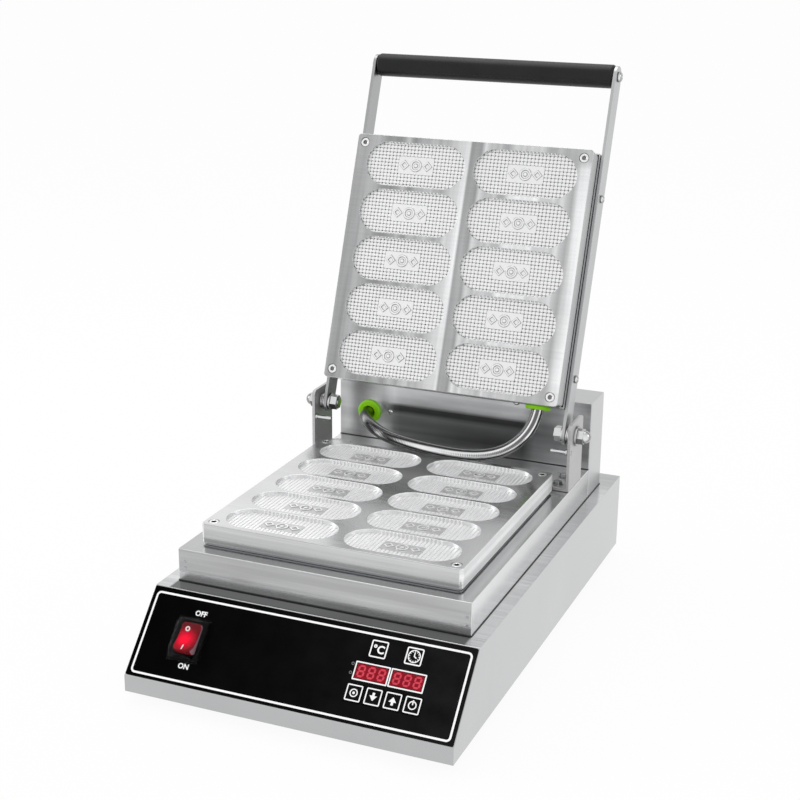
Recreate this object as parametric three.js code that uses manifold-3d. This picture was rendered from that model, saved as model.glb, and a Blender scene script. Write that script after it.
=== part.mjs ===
// An electric cookie maker: a folded steel base with a sloped control panel, a heated lower plate
// on a tray, and a hinged lid with a heated upper plate, joined by a metal hose for its wires.
// Millimetres. X to the right, Y to the back, Z up. The lid is drawn open, as it rests.
import * as THREE from 'three';
import { mergeVertices } from 'three/addons/utils/BufferGeometryUtils.js';
import Module from 'manifold-3d';

const wasm = await Module();
wasm.setup();

// Clearances and roundness
const gap = 0.3; // between two pieces that touch
const overrun = 3; // how far a cutting tool runs past a face
const turn = 16; // sides of a round piece
const smallTurn = 12; // sides of a screw or pin
const hexSides = 6;
const cornerTurn = 2; // steps in a quarter of a small rounded corner
const endTurn = 4; // steps in a quarter of a wide round end
const fullTurn = Math.PI * 2;

// Base: a folded shell with a sloped front, open below and closed by a bottom plate
const baseMargin = 13.15; // from the tray's sides out to the base's
const baseRearMargin = 29.2; // from the rear box back to the base's rear wall
const baseHeight = 73.5;
const lipHeight = 15;
const slopeRun = 54.5;
const baseSheet = 1.5;
const baseReturn = 14; // width of the shell's inward lips, which the bottom plate is screwed to
const bottomSheet = 1.5;
const ventLength = 60;
const ventWidth = 5;
const ventPitch = 14;
const ventCount = 5;
const ventDepth = 250; // from the front lip to the middle of the vents

// Rubber feet
const footHeight = 8;
const footRadius = 11;
const footWaist = 9.5;
const footInset = 34;
const footRecess = 4;
const footRecessRadius = 5.5;
const footScrewRadius = 2;

// Tray: the raised box that carries the lower plate and the hinge brackets
const trayMargin = 13.8; // from the lower plate's sides out to the tray's
const trayFront = 69.9;
const trayRearMargin = 26.65; // from the hinge brackets back to the rear box
const trayHeight = 29;
const traySheet = 1.2;

// Rear box: holds the wiring where the hose comes out; it is open below
const boxDepth = 42.75;
const boxHeight = 95.6;
const boxSheet = 1.2;
const wireHoleRadius = 10; // of the holes in the base's top under the tray and the box

// Baking plates
const plateWidth = 236.1;
const plateSetback = 14.8; // from the tray's front to the plates'
const plateDepth = 238.3;
const plateThickness = 17.3;
const plateCorner = 4;
const closedGap = 0.5; // between the baking faces when the lid is closed
const cavitySideMargin = 12.55; // from the plate's sides to the cavities
const cavityEndMargin = 6.15; // from the plate's front and rear to the cavities
const cavityWallAcross = 9; // between the two columns of cavities
const cavityWallAlong = 4; // between the rows
const cavityDepth = 4.5;
const cavityRows = 5;
const cavityColumns = 2;
const bossLength = 36;
const bossWidth = 17;
const bossHeight = 1.4;

// Plate screws and their seats
const plateScrewInset = 8.3;
const plateScrewRadius = 2.5;
const plateScrewHead = 4.4;
const plateScrewSeat = 3.6; // depth of the counterbore

// Heater pan under the lower plate, and what lies in it
const panInset = 1.5; // of the pan's flange from the plate's edge
const panFlange = 1.6; // thickness of the flange between the tray and the plate
const panMargin = 14; // from the plate's edge to the pan's wall
const panSheet = 1.2;
const panDepth = 25;
const heaterRadius = 3.5;
const heaterBend = 16;
const heaterSteps = 60;
const heaterMargin = 34; // from the plate's edge to the heater's outer runs
const heaterEndMargin = 24; // from the plate's rear edge to the heater's ends
const heaterRuns = 4;
const heaterSides = 2; // steps in a quarter of the heater's section
const lowerTailLength = 20; // of the heater's ends past its runs
const upperTailLength = 12;
const clampSheet = 1.5;
const clampMargin = 26;
const clampRearMargin = 38;
const insulationMargin = 18;
const insulationRearMargin = 36;
const sensorRadius = 2.5;
const sensorLength = 42;
const sensorSetback = 18.15; // of the sensor's head from the heater's rear link
const sensorHead = 3.4;
const sensorHeadLength = 8;

// Lid
const hingeSetback = 22.9; // from the plates' rear edge to the hinge axis
const hingeRise = 12.9; // from the closed upper plate's back to the hinge axis
const openAngle = THREE.MathUtils.degToRad(110.4);
const lidSheet = 1.2;
const lidRise = 27.2; // from the closed upper plate's back to the lid's top
const postRadius = 5.5; // of the posts welded in the lid, which the upper plate is screwed to

// Arms and handle
const armWidth = 20;
const armSheet = 3;
const armMargin = 1.95; // from the upper plate's side to an arm's inner face
const handleLead = 75.7; // from the plates' front edge to the handle's axis
const armScrewFrontInset = 39.8; // of an arm's front screw from the lid's front
const armScrewRearInset = 29; // of an arm's rear screw from the lid's rear
const armScrewRadius = 2.5;
const armScrewHead = 3.8;
const armScrewHeadHeight = 2.4;
const armScrewPast = 4; // how far an arm screw runs past the lid's wall
const gripRadius = 11;
const gripEdge = 2;
const rodRadius = 5;
const handleScrewRadius = 2.6;
const handleScrewHead = 5;
const handleScrewHeadHeight = 3.2;
const handleScrewLength = 22;

// Hinge brackets, pivots and rest pins
const bracketSheet = 3;
const bracketRoom = 5.5; // from an arm's outer face to a bracket's inner face
const bracketLead = 17.9; // from the hinge axis to a bracket's front edge
const bracketDepth = 40;
const bracketRise = 14.6; // from the hinge axis to a bracket's top
const bracketCorner = 5;
const bracketFoot = 23.5;
const bracketBoltInset = 9.5; // from the bracket's front and rear edges
const pivotRadius = 4;
const pivotRingRadius = 8.5; // of the rings turned on the sleeve between arm and bracket
const pivotRingCount = 3;
const pivotRingGroove = 0.35;
const pivotSleeveRadius = 6.5;
const outerWasherRadius = 9.5; // of the flange under a pivot bolt's head
const outerWasherThickness = 1.8;
const innerWasherRadius = 8.5; // of the flange on a pivot nut
const innerWasherThickness = 1.5;
const pivotNutRadius = 7.5;
const pivotNutHeight = 7;
const pivotHexHeight = 6;
const pivotDomeRadius = 6.2;
const restPinRadius = 1.9;
const restPinLength = 16.5; // inward from the bracket
const restPinDepth = 14.9; // forward of the hinge axis
const restPinCollar = 3;
const restPinCollarLength = 1.6;

// Hose for the lid's wires, its ends and its grommets
const hoseRadius = 6;
const hoseBore = 4.6;
const hoseRibDepth = 0.5;
const hoseRibs = 96;
const hoseSides = 8;
const ribsPerBoreRing = 5;
const grommetFlange = 12;
const grommetFlangeLength = 3.4;
const grommetNeck = 8.2;
const grommetBackFlange = 10;
const grommetBackLength = 1.8;
const boxGrommetInset = 32.95; // from the rear box's left side
const boxGrommetDrop = 38.4; // from the rear box's top
const lidGrommetInset = 27.05; // from the upper plate's right side
// The hose's middle line from the rear box to the open lid: across, back from the lip, up
const hoseRoute = [
  [-98.9, 400.4, 130.7], [-98.9, 391, 130.7], [-96.7, 378.8, 130.7], [-90.4, 368, 130.5],
  [-81.9, 358.7, 129.6], [-71.9, 350.8, 128], [-60.8, 344.5, 126.6], [-48.8, 339.8, 125.5],
  [-36.2, 336.4, 124.7], [-23.4, 334, 124], [-10.4, 332.4, 123.4], [2.7, 331.6, 122.9],
  [15.8, 331.4, 122.6], [28.8, 331.8, 122.9], [41.7, 332.9, 124.2], [54.1, 334.7, 127.1],
  [65.5, 337.2, 131.9], [75.5, 340.5, 139], [83.4, 344.4, 148], [88.7, 348.6, 158.5],
  [91, 353.1, 169.6], [91, 356.4, 178.2],
];

// Small screw on the rear box's front, and the terminal block that it holds
const boxScrewInset = 56.05; // from the rear box's left side
const boxScrewDrop = 36.3; // from the rear box's top
const boxScrewRadius = 1.5;
const boxScrewHead = 2.6;
const boxScrewHeadHeight = 1.6;
const blockWidth = 34;
const blockDepth = 14;
const blockHeight = 16;

// Cable gland in the base's rear wall, empty
const glandInset = 55; // from the base's left side
const glandHeight = 35;
const glandBore = 4.5;
const glandNeck = 7.8;
const glandFlange = 11;
const glandFlangeLength = 4.5;
const glandNutRadius = 9.6;
const glandNutTip = 7.2;
const glandNutLength = 15;
const glandBack = 6;
const locknutRadius = 11;
const locknutLength = 4;

// Control panel: everything here is measured along the slope from the lip, and out from the sheet
const filmThickness = 0.5;
const filmMargin = 0.9;
const filmCorner = 1.2;
const displayWidth = 27.4;
const displayHeight = 13;
const displayModuleWidth = 29;
const displayModuleHeight = 16;
const displayModuleDepth = 7;
const displayUp = 43;
const displayInset = 80.6; // from the base's right side to the middle of the first display
const displayPitch = 30.4;
const displayProud = 0.4;
const buttonSide = 14.6;
const buttonUp = 25;
const buttonInset = 90.7; // from the base's right side to the middle of the first button
const buttonPitch = 16.5;
const buttonCount = 4;
const buttonProud = 0.7;
const buttonTravel = 0.5;
const buttonFlange = 0.6; // how far a button's flange reaches past its cap
const buttonFlangeThickness = 1;
const buttonStem = 2.6;
const buttonStemLength = 2.4;
const tactSide = 6;
const boardThickness = 1.6;
const boardWidth = 92;
const boardHeight = 54;
const boardPostRadius = 2.5;
const boardPostInset = 4;
const boardUp = 37;
const boardInset = 65; // from the base's right side to the board's middle

// Rocker switch
const switchInset = 47.5; // from the base's left side to the switch's middle
const switchUp = 39;
const switchWidth = 24.4;
const switchHeight = 32.4;
const switchDepth = 20;
const switchRim = 1.1; // how far the bezel reaches past the switch's body
const switchRimHeight = 2;
const rockerWidth = 18;
const rockerLength = 25.6;
const rockerEnd = 8; // height of the rocker's ends above its axis
const rockerMiddle = 6;
const rockerShoulder = 1.4; // height above the axis where the ends turn in
const rockerRoot = 5; // depth below the axis
const rockerRootHalf = 8;
const rockerAxisDepth = 1; // below the sheet's outer face
const rockerTilt = THREE.MathUtils.degToRad(10);
const rockerWellClearance = 1.2;
const rockerWellDepth = 12; // of the hollow below the sheet's face
const bootWall = 1.1;
const bootClearance = 0.4;
const bootHeight = 10.4;
const bootCorner = 1.6;
const bladeWidth = 6.3;
const bladeThickness = 0.8;
const bladeLength = 7.5;
const bladeSpread = 7.5;
const bladeRoot = 1; // depth of a blade inside the switch's body

// Power board in the base
const powerBoardWidth = 120;
const powerBoardDepth = 90;
const powerBoardFront = 210; // from the lip to the board's middle
const powerBoardInset = 85; // from the base's right side to the board's middle
const standoffHeight = 8;
const standoffRadius = 3;
const standoffInset = 6;
const relayWidth = 29;
const relayDepth = 13;
const relayHeight = 25;
const relayPitch = 20;
const relayInset = 28;

// Finishes
const finish = (color, roughness, metalness) => (
  new THREE.MeshStandardMaterial({ color, roughness, metalness })
);
const steel = () => finish(0xb4b7bb, 0.28, 0.95);
const brightSteel = () => finish(0xd2d4d6, 0.18, 1);
const platedSteel = () => finish(0xc4c6c8, 0.3, 1);
const aluminium = () => finish(0xc9ccce, 0.35, 1);
const zincSteel = () => finish(0x9a9da0, 0.5, 0.9);
const blackPlastic = () => finish(0x151516, 0.35, 0);
const blackFilm = () => finish(0x101113, 0.3, 0);
const blackRubber = () => finish(0x1b1b1c, 0.8, 0);
const greenSilicone = () => finish(0x7dc811, 0.5, 0);
const displayRed = () => finish(0x5a0f10, 0.15, 0);
const switchRed = () => finish(0xd4171b, 0.25, 0);
const keyGrey = () => finish(0x26282b, 0.5, 0);
const clearPlastic = () => {
  const clear = finish(0xe8edf0, 0.08, 0);
  clear.transparent = true;
  clear.opacity = 0.35;
  return clear;
};
const ceramicWool = () => finish(0xe9e5da, 0.95, 0);
const circuitGreen = () => finish(0x1f5a34, 0.5, 0);
const blockWhite = () => finish(0xe6e2d4, 0.55, 0);

// Places that several pieces share
const half = (size) => size / 2;
const trayTop = baseHeight + trayHeight;
const trayHalf = half(plateWidth) + trayMargin;
const boxTop = baseHeight + boxHeight;
const plateFront = trayFront + plateSetback;
const plateMiddle = plateFront + half(plateDepth);
const plateRear = plateFront + plateDepth;
const plateBottom = trayTop + gap + panFlange + gap;
const plateFace = plateBottom + plateThickness;
const cavityPitchAcross = (
  plateWidth - cavitySideMargin - cavitySideMargin + cavityWallAcross
) / cavityColumns;
const cavityPitchAlong = (
  plateDepth - cavityEndMargin - cavityEndMargin + cavityWallAlong
) / cavityRows;
const cavityLength = cavityPitchAcross - cavityWallAcross;
const cavityWidth = cavityPitchAlong - cavityWallAlong;
const heaterRear = plateRear - heaterMargin - half(heaterMargin);
const lidPlateFace = plateFace + closedGap;
const lidPlateBack = lidPlateFace + plateThickness;
const lidTop = lidPlateBack + lidRise;
const hingeDepth = plateRear + hingeSetback;
const hingeHeight = lidPlateBack + hingeRise;
const armInner = half(plateWidth) + armMargin;
const armOuter = armInner + armSheet;
const armLength = hingeDepth - plateFront + handleLead;
const armScrewFront = plateFront + armScrewFrontInset;
const armScrewRear = plateRear - armScrewRearInset;
const bracketInner = armOuter + bracketRoom;
const bracketOuter = bracketInner + bracketSheet;
const bracketFront = hingeDepth - bracketLead;
const bracketHeight = hingeHeight + bracketRise - trayTop - gap;
const trayRear = bracketFront + bracketDepth + trayRearMargin;
const boxRear = trayRear + boxDepth;
const boxGrommetAcross = boxGrommetInset - trayHalf;
const boxGrommetHeight = boxTop - boxGrommetDrop;
const boxScrewAcross = boxScrewInset - trayHalf;
const boxScrewHeight = boxTop - boxScrewDrop;
const lidGrommetAcross = half(plateWidth) - lidGrommetInset;
const baseWidth = trayHalf + trayHalf + baseMargin + baseMargin;
const baseDepth = boxRear + baseRearMargin;
const baseRight = half(baseWidth);
const switchAcross = switchInset - baseRight;
const displayAcross = baseRight - displayInset;
const buttonAcross = baseRight - buttonInset;
const boardAcross = baseRight - boardInset;
const powerBoardSide = baseRight - powerBoardInset;
const glandAcross = glandInset - baseRight;
const slopeAngle = Math.atan2(baseHeight - lipHeight, slopeRun);
const slopeLength = Math.hypot(slopeRun, baseHeight - lipHeight);
const lidGrommetHeight = half(lidPlateBack + gap + lidTop);
const handleReach = hingeDepth - armLength * Math.cos(openAngle) + gripRadius;
const glandReach = baseDepth + gap + glandFlangeLength + glandNutLength;
const rearReach = Math.max(glandReach, handleReach);
const panFloor = plateBottom - panDepth;

// Joins and cuts of closed bodies
function solid(geometry) {
  const plain = geometry.index ? geometry.toNonIndexed() : geometry.clone();
  plain.deleteAttribute('normal');
  plain.deleteAttribute('uv');
  const merged = mergeVertices(plain);
  return new wasm.Manifold(new wasm.Mesh({
    numProp: 3,
    vertProperties: new Float32Array(merged.attributes.position.array),
    triVerts: new Uint32Array(merged.index.array),
  }));
}

function shapeOf(body) {
  const mesh = body.getMesh();
  const geometry = new THREE.BufferGeometry();
  geometry.setAttribute('position', new THREE.BufferAttribute(new Float32Array(mesh.vertProperties), 3));
  geometry.setIndex(new THREE.BufferAttribute(new Uint32Array(mesh.triVerts), 1));
  geometry.computeVertexNormals();
  return geometry;
}

function cutFrom(geometry, tools) {
  return shapeOf(tools.reduce((body, tool) => body.subtract(solid(tool)), solid(geometry)));
}

function joined(geometries) {
  const [first, ...rest] = geometries;
  return shapeOf(rest.reduce((body, other) => body.add(solid(other)), solid(first)));
}

// A box between two corners
function block(x0, x1, y0, y1, z0, z1) {
  const box = new THREE.BoxGeometry(x1 - x0, y1 - y0, z1 - z0);
  return box.translate(half(x0 + x1), half(y0 + y1), half(z0 + z1));
}

// A box about a middle point, between two heights
function centredBlock(x, y, width, depth, z0, z1) {
  return block(x - half(width), x + half(width), y - half(depth), y + half(depth), z0, z1);
}

// A cylinder between two heights, upright, along X or along Y
function upright(radius, x, y, z0, z1, sides = turn) {
  const rod = new THREE.CylinderGeometry(radius, radius, z1 - z0, sides);
  return rod.rotateX(half(Math.PI)).translate(x, y, half(z0 + z1));
}

function across(radius, x0, x1, y, z, sides = turn) {
  const rod = new THREE.CylinderGeometry(radius, radius, Math.abs(x1 - x0), sides);
  return rod.rotateZ(half(Math.PI)).translate(half(x0 + x1), y, z);
}

function lengthwise(radius, x, y0, y1, z, sides = turn) {
  const rod = new THREE.CylinderGeometry(radius, radius, Math.abs(y1 - y0), sides);
  return rod.translate(x, half(y0 + y1), z);
}

// A plate of a given outline, between two heights
function slab(outline, z0, z1, curveSegments = cornerTurn) {
  const plate = new THREE.ExtrudeGeometry(outline, { depth: z1 - z0, bevelEnabled: false, curveSegments });
  return plate.translate(0, 0, z0);
}

function roundedOutline(width, depth, corner, x = 0, y = 0) {
  const outline = new THREE.Shape();
  const right = x + half(width) - corner;
  const left = x - half(width) + corner;
  const back = y + half(depth) - corner;
  const front = y - half(depth) + corner;
  const quarter = half(Math.PI);
  outline.absarc(right, back, corner, 0, quarter);
  outline.absarc(left, back, corner, quarter, Math.PI);
  outline.absarc(left, front, corner, Math.PI, Math.PI + quarter);
  outline.absarc(right, front, corner, Math.PI + quarter, fullTurn);
  return outline;
}

function polygonOutline(points) {
  return new THREE.Shape(points.map(([x, y]) => new THREE.Vector2(x, y)));
}

// A side profile, given as back and up, carried across between two places
function carriedAcross(points, x0, x1) {
  const wall = new THREE.ExtrudeGeometry(polygonOutline(points), { depth: x1 - x0, bevelEnabled: false });
  return wall.applyMatrix4(new THREE.Matrix4().makeBasis(
    new THREE.Vector3(0, 1, 0),
    new THREE.Vector3(0, 0, 1),
    new THREE.Vector3(1, 0, 0),
  )).translate(x0, 0, 0);
}

// A turned piece about the X axis through y and z; its profile is given as radius and place along X
function turnedAcross(profile, y, z, sides = turn) {
  const points = profile.map(([radius, x]) => new THREE.Vector2(radius, x));
  const body = new THREE.LatheGeometry(points, sides);
  body.rotateZ(-half(Math.PI));
  return body.translate(0, y, z);
}

// A turned piece about the Y axis through x and z; its profile is given as radius and place along Y
function turnedLengthwise(profile, x, z, sides = turn) {
  const points = profile.map(([radius, y]) => new THREE.Vector2(radius, y));
  const body = new THREE.LatheGeometry(points, sides);
  return body.translate(x, 0, z);
}

// A turned piece about an upright axis; its profile is given as radius and height
function turnedUpright(profile, x, y, sides = turn) {
  const points = profile.map(([radius, z]) => new THREE.Vector2(radius, z));
  const body = new THREE.LatheGeometry(points, sides);
  body.rotateX(half(Math.PI));
  return body.translate(x, y, 0);
}

// Straight runs with rounded corners, as one curve
function bentLine(corners, bend) {
  const line = new THREE.CurvePath();
  const points = corners.map((corner) => new THREE.Vector3(...corner));
  let from = points[0];
  for (let i = 1; i < points.length - 1; i += 1) {
    const before = points[i].clone().sub(points[i - 1]).setLength(bend);
    const after = points[i + 1].clone().sub(points[i]).setLength(bend);
    const start = points[i].clone().sub(before);
    const end = points[i].clone().add(after);
    line.add(new THREE.LineCurve3(from, start));
    line.add(new THREE.QuadraticBezierCurve3(start, points[i], end));
    from = end;
  }
  line.add(new THREE.LineCurve3(from, points[points.length - 1]));
  return line;
}

function rodAlong(curve, radius, sides, steps) {
  const section = new THREE.Shape();
  section.absarc(0, 0, radius, 0, fullTurn);
  const options = { steps, extrudePath: curve, bevelEnabled: false, curveSegments: sides };
  return new THREE.ExtrudeGeometry(section, options);
}

const machine = new THREE.Group();
const panel = new THREE.Group();
const lid = new THREE.Group();
const closedLid = new THREE.Group();

function piece(group, name, geometry, material) {
  const mesh = new THREE.Mesh(geometry, material);
  mesh.name = name;
  group.add(mesh);
  return mesh;
}

// Places along the slope, moved into the machine's own frame, for the holes in the base
function fromPanel(geometry) {
  return geometry.rotateX(slopeAngle).translate(0, 0, lipHeight);
}

const corners = [[-1, -1], [1, -1], [1, 1], [-1, 1]];
const sides = [['left', -1], ['right', 1]];
const plateScrewPlaces = corners.map(([sx, sy]) => [
  sx * (half(plateWidth) - plateScrewInset),
  plateMiddle + sy * (half(plateDepth) - plateScrewInset),
]);
const footPlaces = corners.map(([sx, sy]) => [
  sx * (half(baseWidth) - footInset),
  half(baseDepth) + sy * (half(baseDepth) - footInset),
]);
const displayPlaces = [displayAcross, displayAcross + displayPitch];
const buttonPlaces = Array.from({ length: buttonCount }, (_, i) => buttonAcross + i * buttonPitch);
const bracketBoltAcross = bracketOuter - bracketSheet - half(bracketFoot - bracketSheet);
const bracketBoltPlaces = sides.flatMap(([, s]) => [
  [s * bracketBoltAcross, bracketFront + bracketBoltInset],
  [s * bracketBoltAcross, bracketFront + bracketDepth - bracketBoltInset],
]);

// Base shell
function baseProfile(inset) {
  const lean = Math.tan(slopeAngle);
  const lipInside = lipHeight - inset * Math.cos(slopeAngle) + (inset - inset * Math.sin(slopeAngle)) * lean;
  const topInside = baseHeight - inset;
  const rise = topInside - lipHeight + inset * Math.cos(slopeAngle);
  const slopeInside = inset * Math.sin(slopeAngle) + rise / lean;
  const foot = inset > 0 ? -overrun : 0;
  return [
    [inset, foot], [baseDepth - inset, foot], [baseDepth - inset, topInside],
    [slopeInside, topInside], [inset, lipInside],
  ];
}

function makeBaseShell() {
  const outer = carriedAcross(baseProfile(0), -half(baseWidth), half(baseWidth));
  const inside = half(baseWidth) - baseSheet;
  const inner = carriedAcross(baseProfile(baseSheet), -inside, inside);
  const panelHoles = panelWindows(-baseSheet - overrun, overrun).map(fromPanel);
  const wireHoles = [half(plateRear + trayRear), trayRear + half(boxDepth)].map((y) => (
    upright(wireHoleRadius, 0, y, baseHeight - overrun, baseHeight + overrun)
  ));
  const glandHole = lengthwise(
    glandNeck + gap, glandAcross, baseDepth - baseSheet - overrun, baseDepth + overrun, glandHeight,
  );
  const open = cutFrom(outer, [inner, ...panelHoles, ...wireHoles, glandHole]);
  const lipBottom = bottomSheet + gap;
  const lipTop = lipBottom + baseSheet;
  const lips = sides.map(([, s]) => {
    const wall = s * (half(baseWidth) - half(baseSheet));
    const edge = s * (half(baseWidth) - baseReturn);
    return block(
      Math.min(wall, edge), Math.max(wall, edge), baseSheet, baseDepth - baseSheet, lipBottom, lipTop,
    );
  });
  const screwHoles = footPlaces.map(([x, y]) => (
    upright(footScrewRadius + gap, x, y, 0, lipTop + overrun, smallTurn)
  ));
  const wide = footPlaces.map(([x, y]) => {
    const s = Math.sign(x);
    const edge = s * (half(baseWidth) - half(baseSheet));
    const tab = x - s * baseReturn;
    return block(Math.min(edge, tab), Math.max(edge, tab), y - baseReturn, y + baseReturn, lipBottom, lipTop);
  });
  return cutFrom(joined([open, ...lips, ...wide, ...boardStuds().map(fromPanel)]), screwHoles);
}

// The holes for the switch, the displays and the buttons, with a clearance all round
function panelWindows(z0, z1) {
  return [
    [switchAcross, switchUp, switchWidth, switchHeight],
    ...displayPlaces.map((x) => [x, displayUp, displayWidth, displayHeight]),
    ...buttonPlaces.map((x) => [x, buttonUp, buttonSide, buttonSide]),
  ].map(([x, y, width, height]) => centredBlock(x, y, width + gap + gap, height + gap + gap, z0, z1));
}

// Studs welded behind the slope, which the control board is held on
function boardStuds() {
  return corners.map(([sx, sy]) => upright(
    boardPostRadius, boardAcross + sx * (half(boardWidth) - boardPostInset),
    boardUp + sy * (half(boardHeight) - boardPostInset), boardTop + gap, -half(baseSheet), smallTurn,
  ));
}

function makeBottomPlate() {
  const side = half(baseWidth) - baseSheet - gap;
  const plate = block(-side, side, baseSheet + gap, baseDepth - baseSheet - gap, 0, bottomSheet);
  const vents = [-1, 1].flatMap((s) => Array.from({ length: ventCount }, (_, i) => {
    const y = ventDepth + (i - half(ventCount - 1)) * ventPitch;
    return centredBlock(s * ventLength, y, ventLength, ventWidth, -overrun, bottomSheet + overrun);
  }));
  const holes = footPlaces.map(([x, y]) => (
    upright(footScrewRadius + gap, x, y, -overrun, bottomSheet + overrun, smallTurn)
  ));
  const standoffs = corners.map(([sx, sy]) => upright(
    standoffRadius, powerBoardSide + sx * (half(powerBoardWidth) - standoffInset),
    powerBoardFront + sy * (half(powerBoardDepth) - standoffInset),
    half(bottomSheet), bottomSheet + standoffHeight, smallTurn,
  ));
  return joined([cutFrom(plate, [...vents, ...holes]), ...standoffs]);
}

function makeFoot(x, y) {
  const profile = [
    [footScrewRadius + gap, -gap], [footRadius, -gap], [footWaist, -footHeight],
    [footRecessRadius, -footHeight], [footRecessRadius, -footHeight + footRecess],
    [footScrewRadius + gap, -footHeight + footRecess], [footScrewRadius + gap, -gap],
  ];
  return turnedUpright(profile.reverse(), x, y);
}

function addBase() {
  piece(machine, 'base_shell', makeBaseShell(), steel());
  piece(machine, 'bottom_plate', makeBottomPlate(), zincSteel());
  const names = ['foot_front_left', 'foot_front_right', 'foot_rear_right', 'foot_rear_left'];
  footPlaces.forEach(([x, y], i) => piece(machine, names[i], makeFoot(x, y), blackRubber()));
}

// Tray and the pan that hangs in it
const panWallX = half(plateWidth) - panMargin;
const panWallFront = plateFront + panMargin;
const panWallRear = plateRear - panMargin;

function makeTray() {
  const outer = block(-trayHalf, trayHalf, trayFront, trayRear - gap, baseHeight + gap, trayTop);
  const inner = block(
    -trayHalf + traySheet, trayHalf - traySheet, trayFront + traySheet, trayRear - gap - traySheet,
    baseHeight - overrun, trayTop - traySheet,
  );
  const panHole = block(
    -panWallX - gap, panWallX + gap, panWallFront - gap, panWallRear + gap,
    trayTop - traySheet - overrun, trayTop + overrun,
  );
  const holes = [
    ...plateScrewPlaces,
    ...bracketBoltPlaces,
  ].map(([x, y]) => (
    upright(plateScrewRadius + gap, x, y, trayTop - traySheet - overrun, trayTop + overrun, smallTurn)
  ));
  return cutFrom(outer, [inner, panHole, ...holes]);
}

function makePan() {
  const width = plateWidth - panInset - panInset;
  const depth = plateDepth - panInset - panInset;
  const flange = slab(
    roundedOutline(width, depth, plateCorner, 0, plateMiddle), trayTop + gap, plateBottom - gap,
  );
  const wall = block(-panWallX, panWallX, panWallFront, panWallRear, panFloor, plateBottom - gap);
  const hollow = block(
    -panWallX + panSheet, panWallX - panSheet, panWallFront + panSheet, panWallRear - panSheet,
    panFloor + panSheet, plateBottom + overrun,
  );
  const holes = plateScrewPlaces.map(([x, y]) => (
    upright(plateScrewRadius + gap, x, y, trayTop - overrun, plateBottom + overrun, smallTurn)
  ));
  const tails = heaterEnds().map(([x, y]) => (
    upright(heaterRadius + gap + gap, x, y, panFloor - overrun, panFloor + panSheet + overrun)
  ));
  return cutFrom(joined([flange, wall]), [hollow, ...holes, ...tails]);
}

// The tubular heater goes up and down under the plate; its two ends turn away from the plate
function heaterEnds() {
  const reach = half(plateWidth) - heaterMargin;
  return [[-reach, plateRear - heaterEndMargin], [reach, plateRear - heaterEndMargin]];
}

function makeHeater(z, away, tailLength) {
  const reach = half(plateWidth) - heaterMargin;
  const pitch = (reach + reach) / (heaterRuns - 1);
  const front = plateFront + heaterMargin;
  const end = plateRear - heaterEndMargin;
  const tail = z + away * tailLength;
  const path = [[-reach, end, tail], [-reach, end, z]];
  for (let i = 0; i < heaterRuns; i += 1) {
    const x = -reach + i * pitch;
    const forward = i % 2 === 0;
    if (i > 0) path.push([x, forward ? heaterRear : front, z]);
    if (i < heaterRuns - 1) path.push([x, forward ? front : heaterRear, z]);
  }
  path.push([reach, end, z], [reach, end, tail]);
  const bend = Math.min(heaterBend, half(heaterEndMargin), half(tailLength));
  return rodAlong(bentLine(path, bend), heaterRadius, heaterSides, heaterSteps);
}

function makeClamp(z0, z1) {
  const reach = half(plateWidth) - clampMargin;
  return block(-reach, reach, plateFront + clampMargin, plateRear - clampRearMargin, z0, z1);
}

function makeInsulation(z0, z1) {
  const reach = half(plateWidth) - insulationMargin;
  const outline = roundedOutline(
    reach + reach, plateDepth - insulationMargin - insulationRearMargin, plateCorner,
    0, half(plateFront + insulationMargin + plateRear - insulationRearMargin),
  );
  return slab(outline, z0, z1);
}

function makeSensor(z) {
  const rear = heaterRear - sensorSetback - sensorHeadLength;
  const front = rear - sensorLength;
  return joined([
    lengthwise(sensorRadius, 0, front, rear, z, smallTurn),
    lengthwise(sensorHead, 0, rear - gap, rear + sensorHeadLength, z, hexSides),
  ]);
}

// A milled baking plate; its face looks up, or down when it is the lid's
function makePlate(face, away) {
  const back = face + away * plateThickness;
  const low = Math.min(face, back);
  const high = Math.max(face, back);
  const body = slab(roundedOutline(plateWidth, plateDepth, plateCorner, 0, plateMiddle), low, high);
  const floor = face + away * cavityDepth;
  const outside = face - away * overrun;
  const cavities = [];
  for (let row = 0; row < cavityRows; row += 1) {
    for (let column = 0; column < cavityColumns; column += 1) {
      const x = (column - half(cavityColumns - 1)) * cavityPitchAcross;
      const y = plateMiddle + (row - half(cavityRows - 1)) * cavityPitchAlong;
      const pocket = slab(
        roundedOutline(cavityLength, cavityWidth, half(cavityWidth) - gap, x, y),
        Math.min(floor, outside), Math.max(floor, outside), endTurn,
      );
      const top = floor - away * bossHeight;
      const root = floor + away * gap;
      const boss = centredBlock(x, y, bossLength, bossWidth, Math.min(top, root), Math.max(top, root));
      cavities.push(cutFrom(pocket, [boss]));
    }
  }
  const seat = face + away * plateScrewSeat;
  const screwHoles = plateScrewPlaces.flatMap(([x, y]) => [
    upright(plateScrewRadius + gap, x, y, low - overrun, high + overrun, smallTurn),
    upright(plateScrewHead + gap, x, y, Math.min(seat, outside), Math.max(seat, outside), smallTurn),
  ]);
  return cutFrom(body, [...cavities, ...screwHoles]);
}

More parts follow.
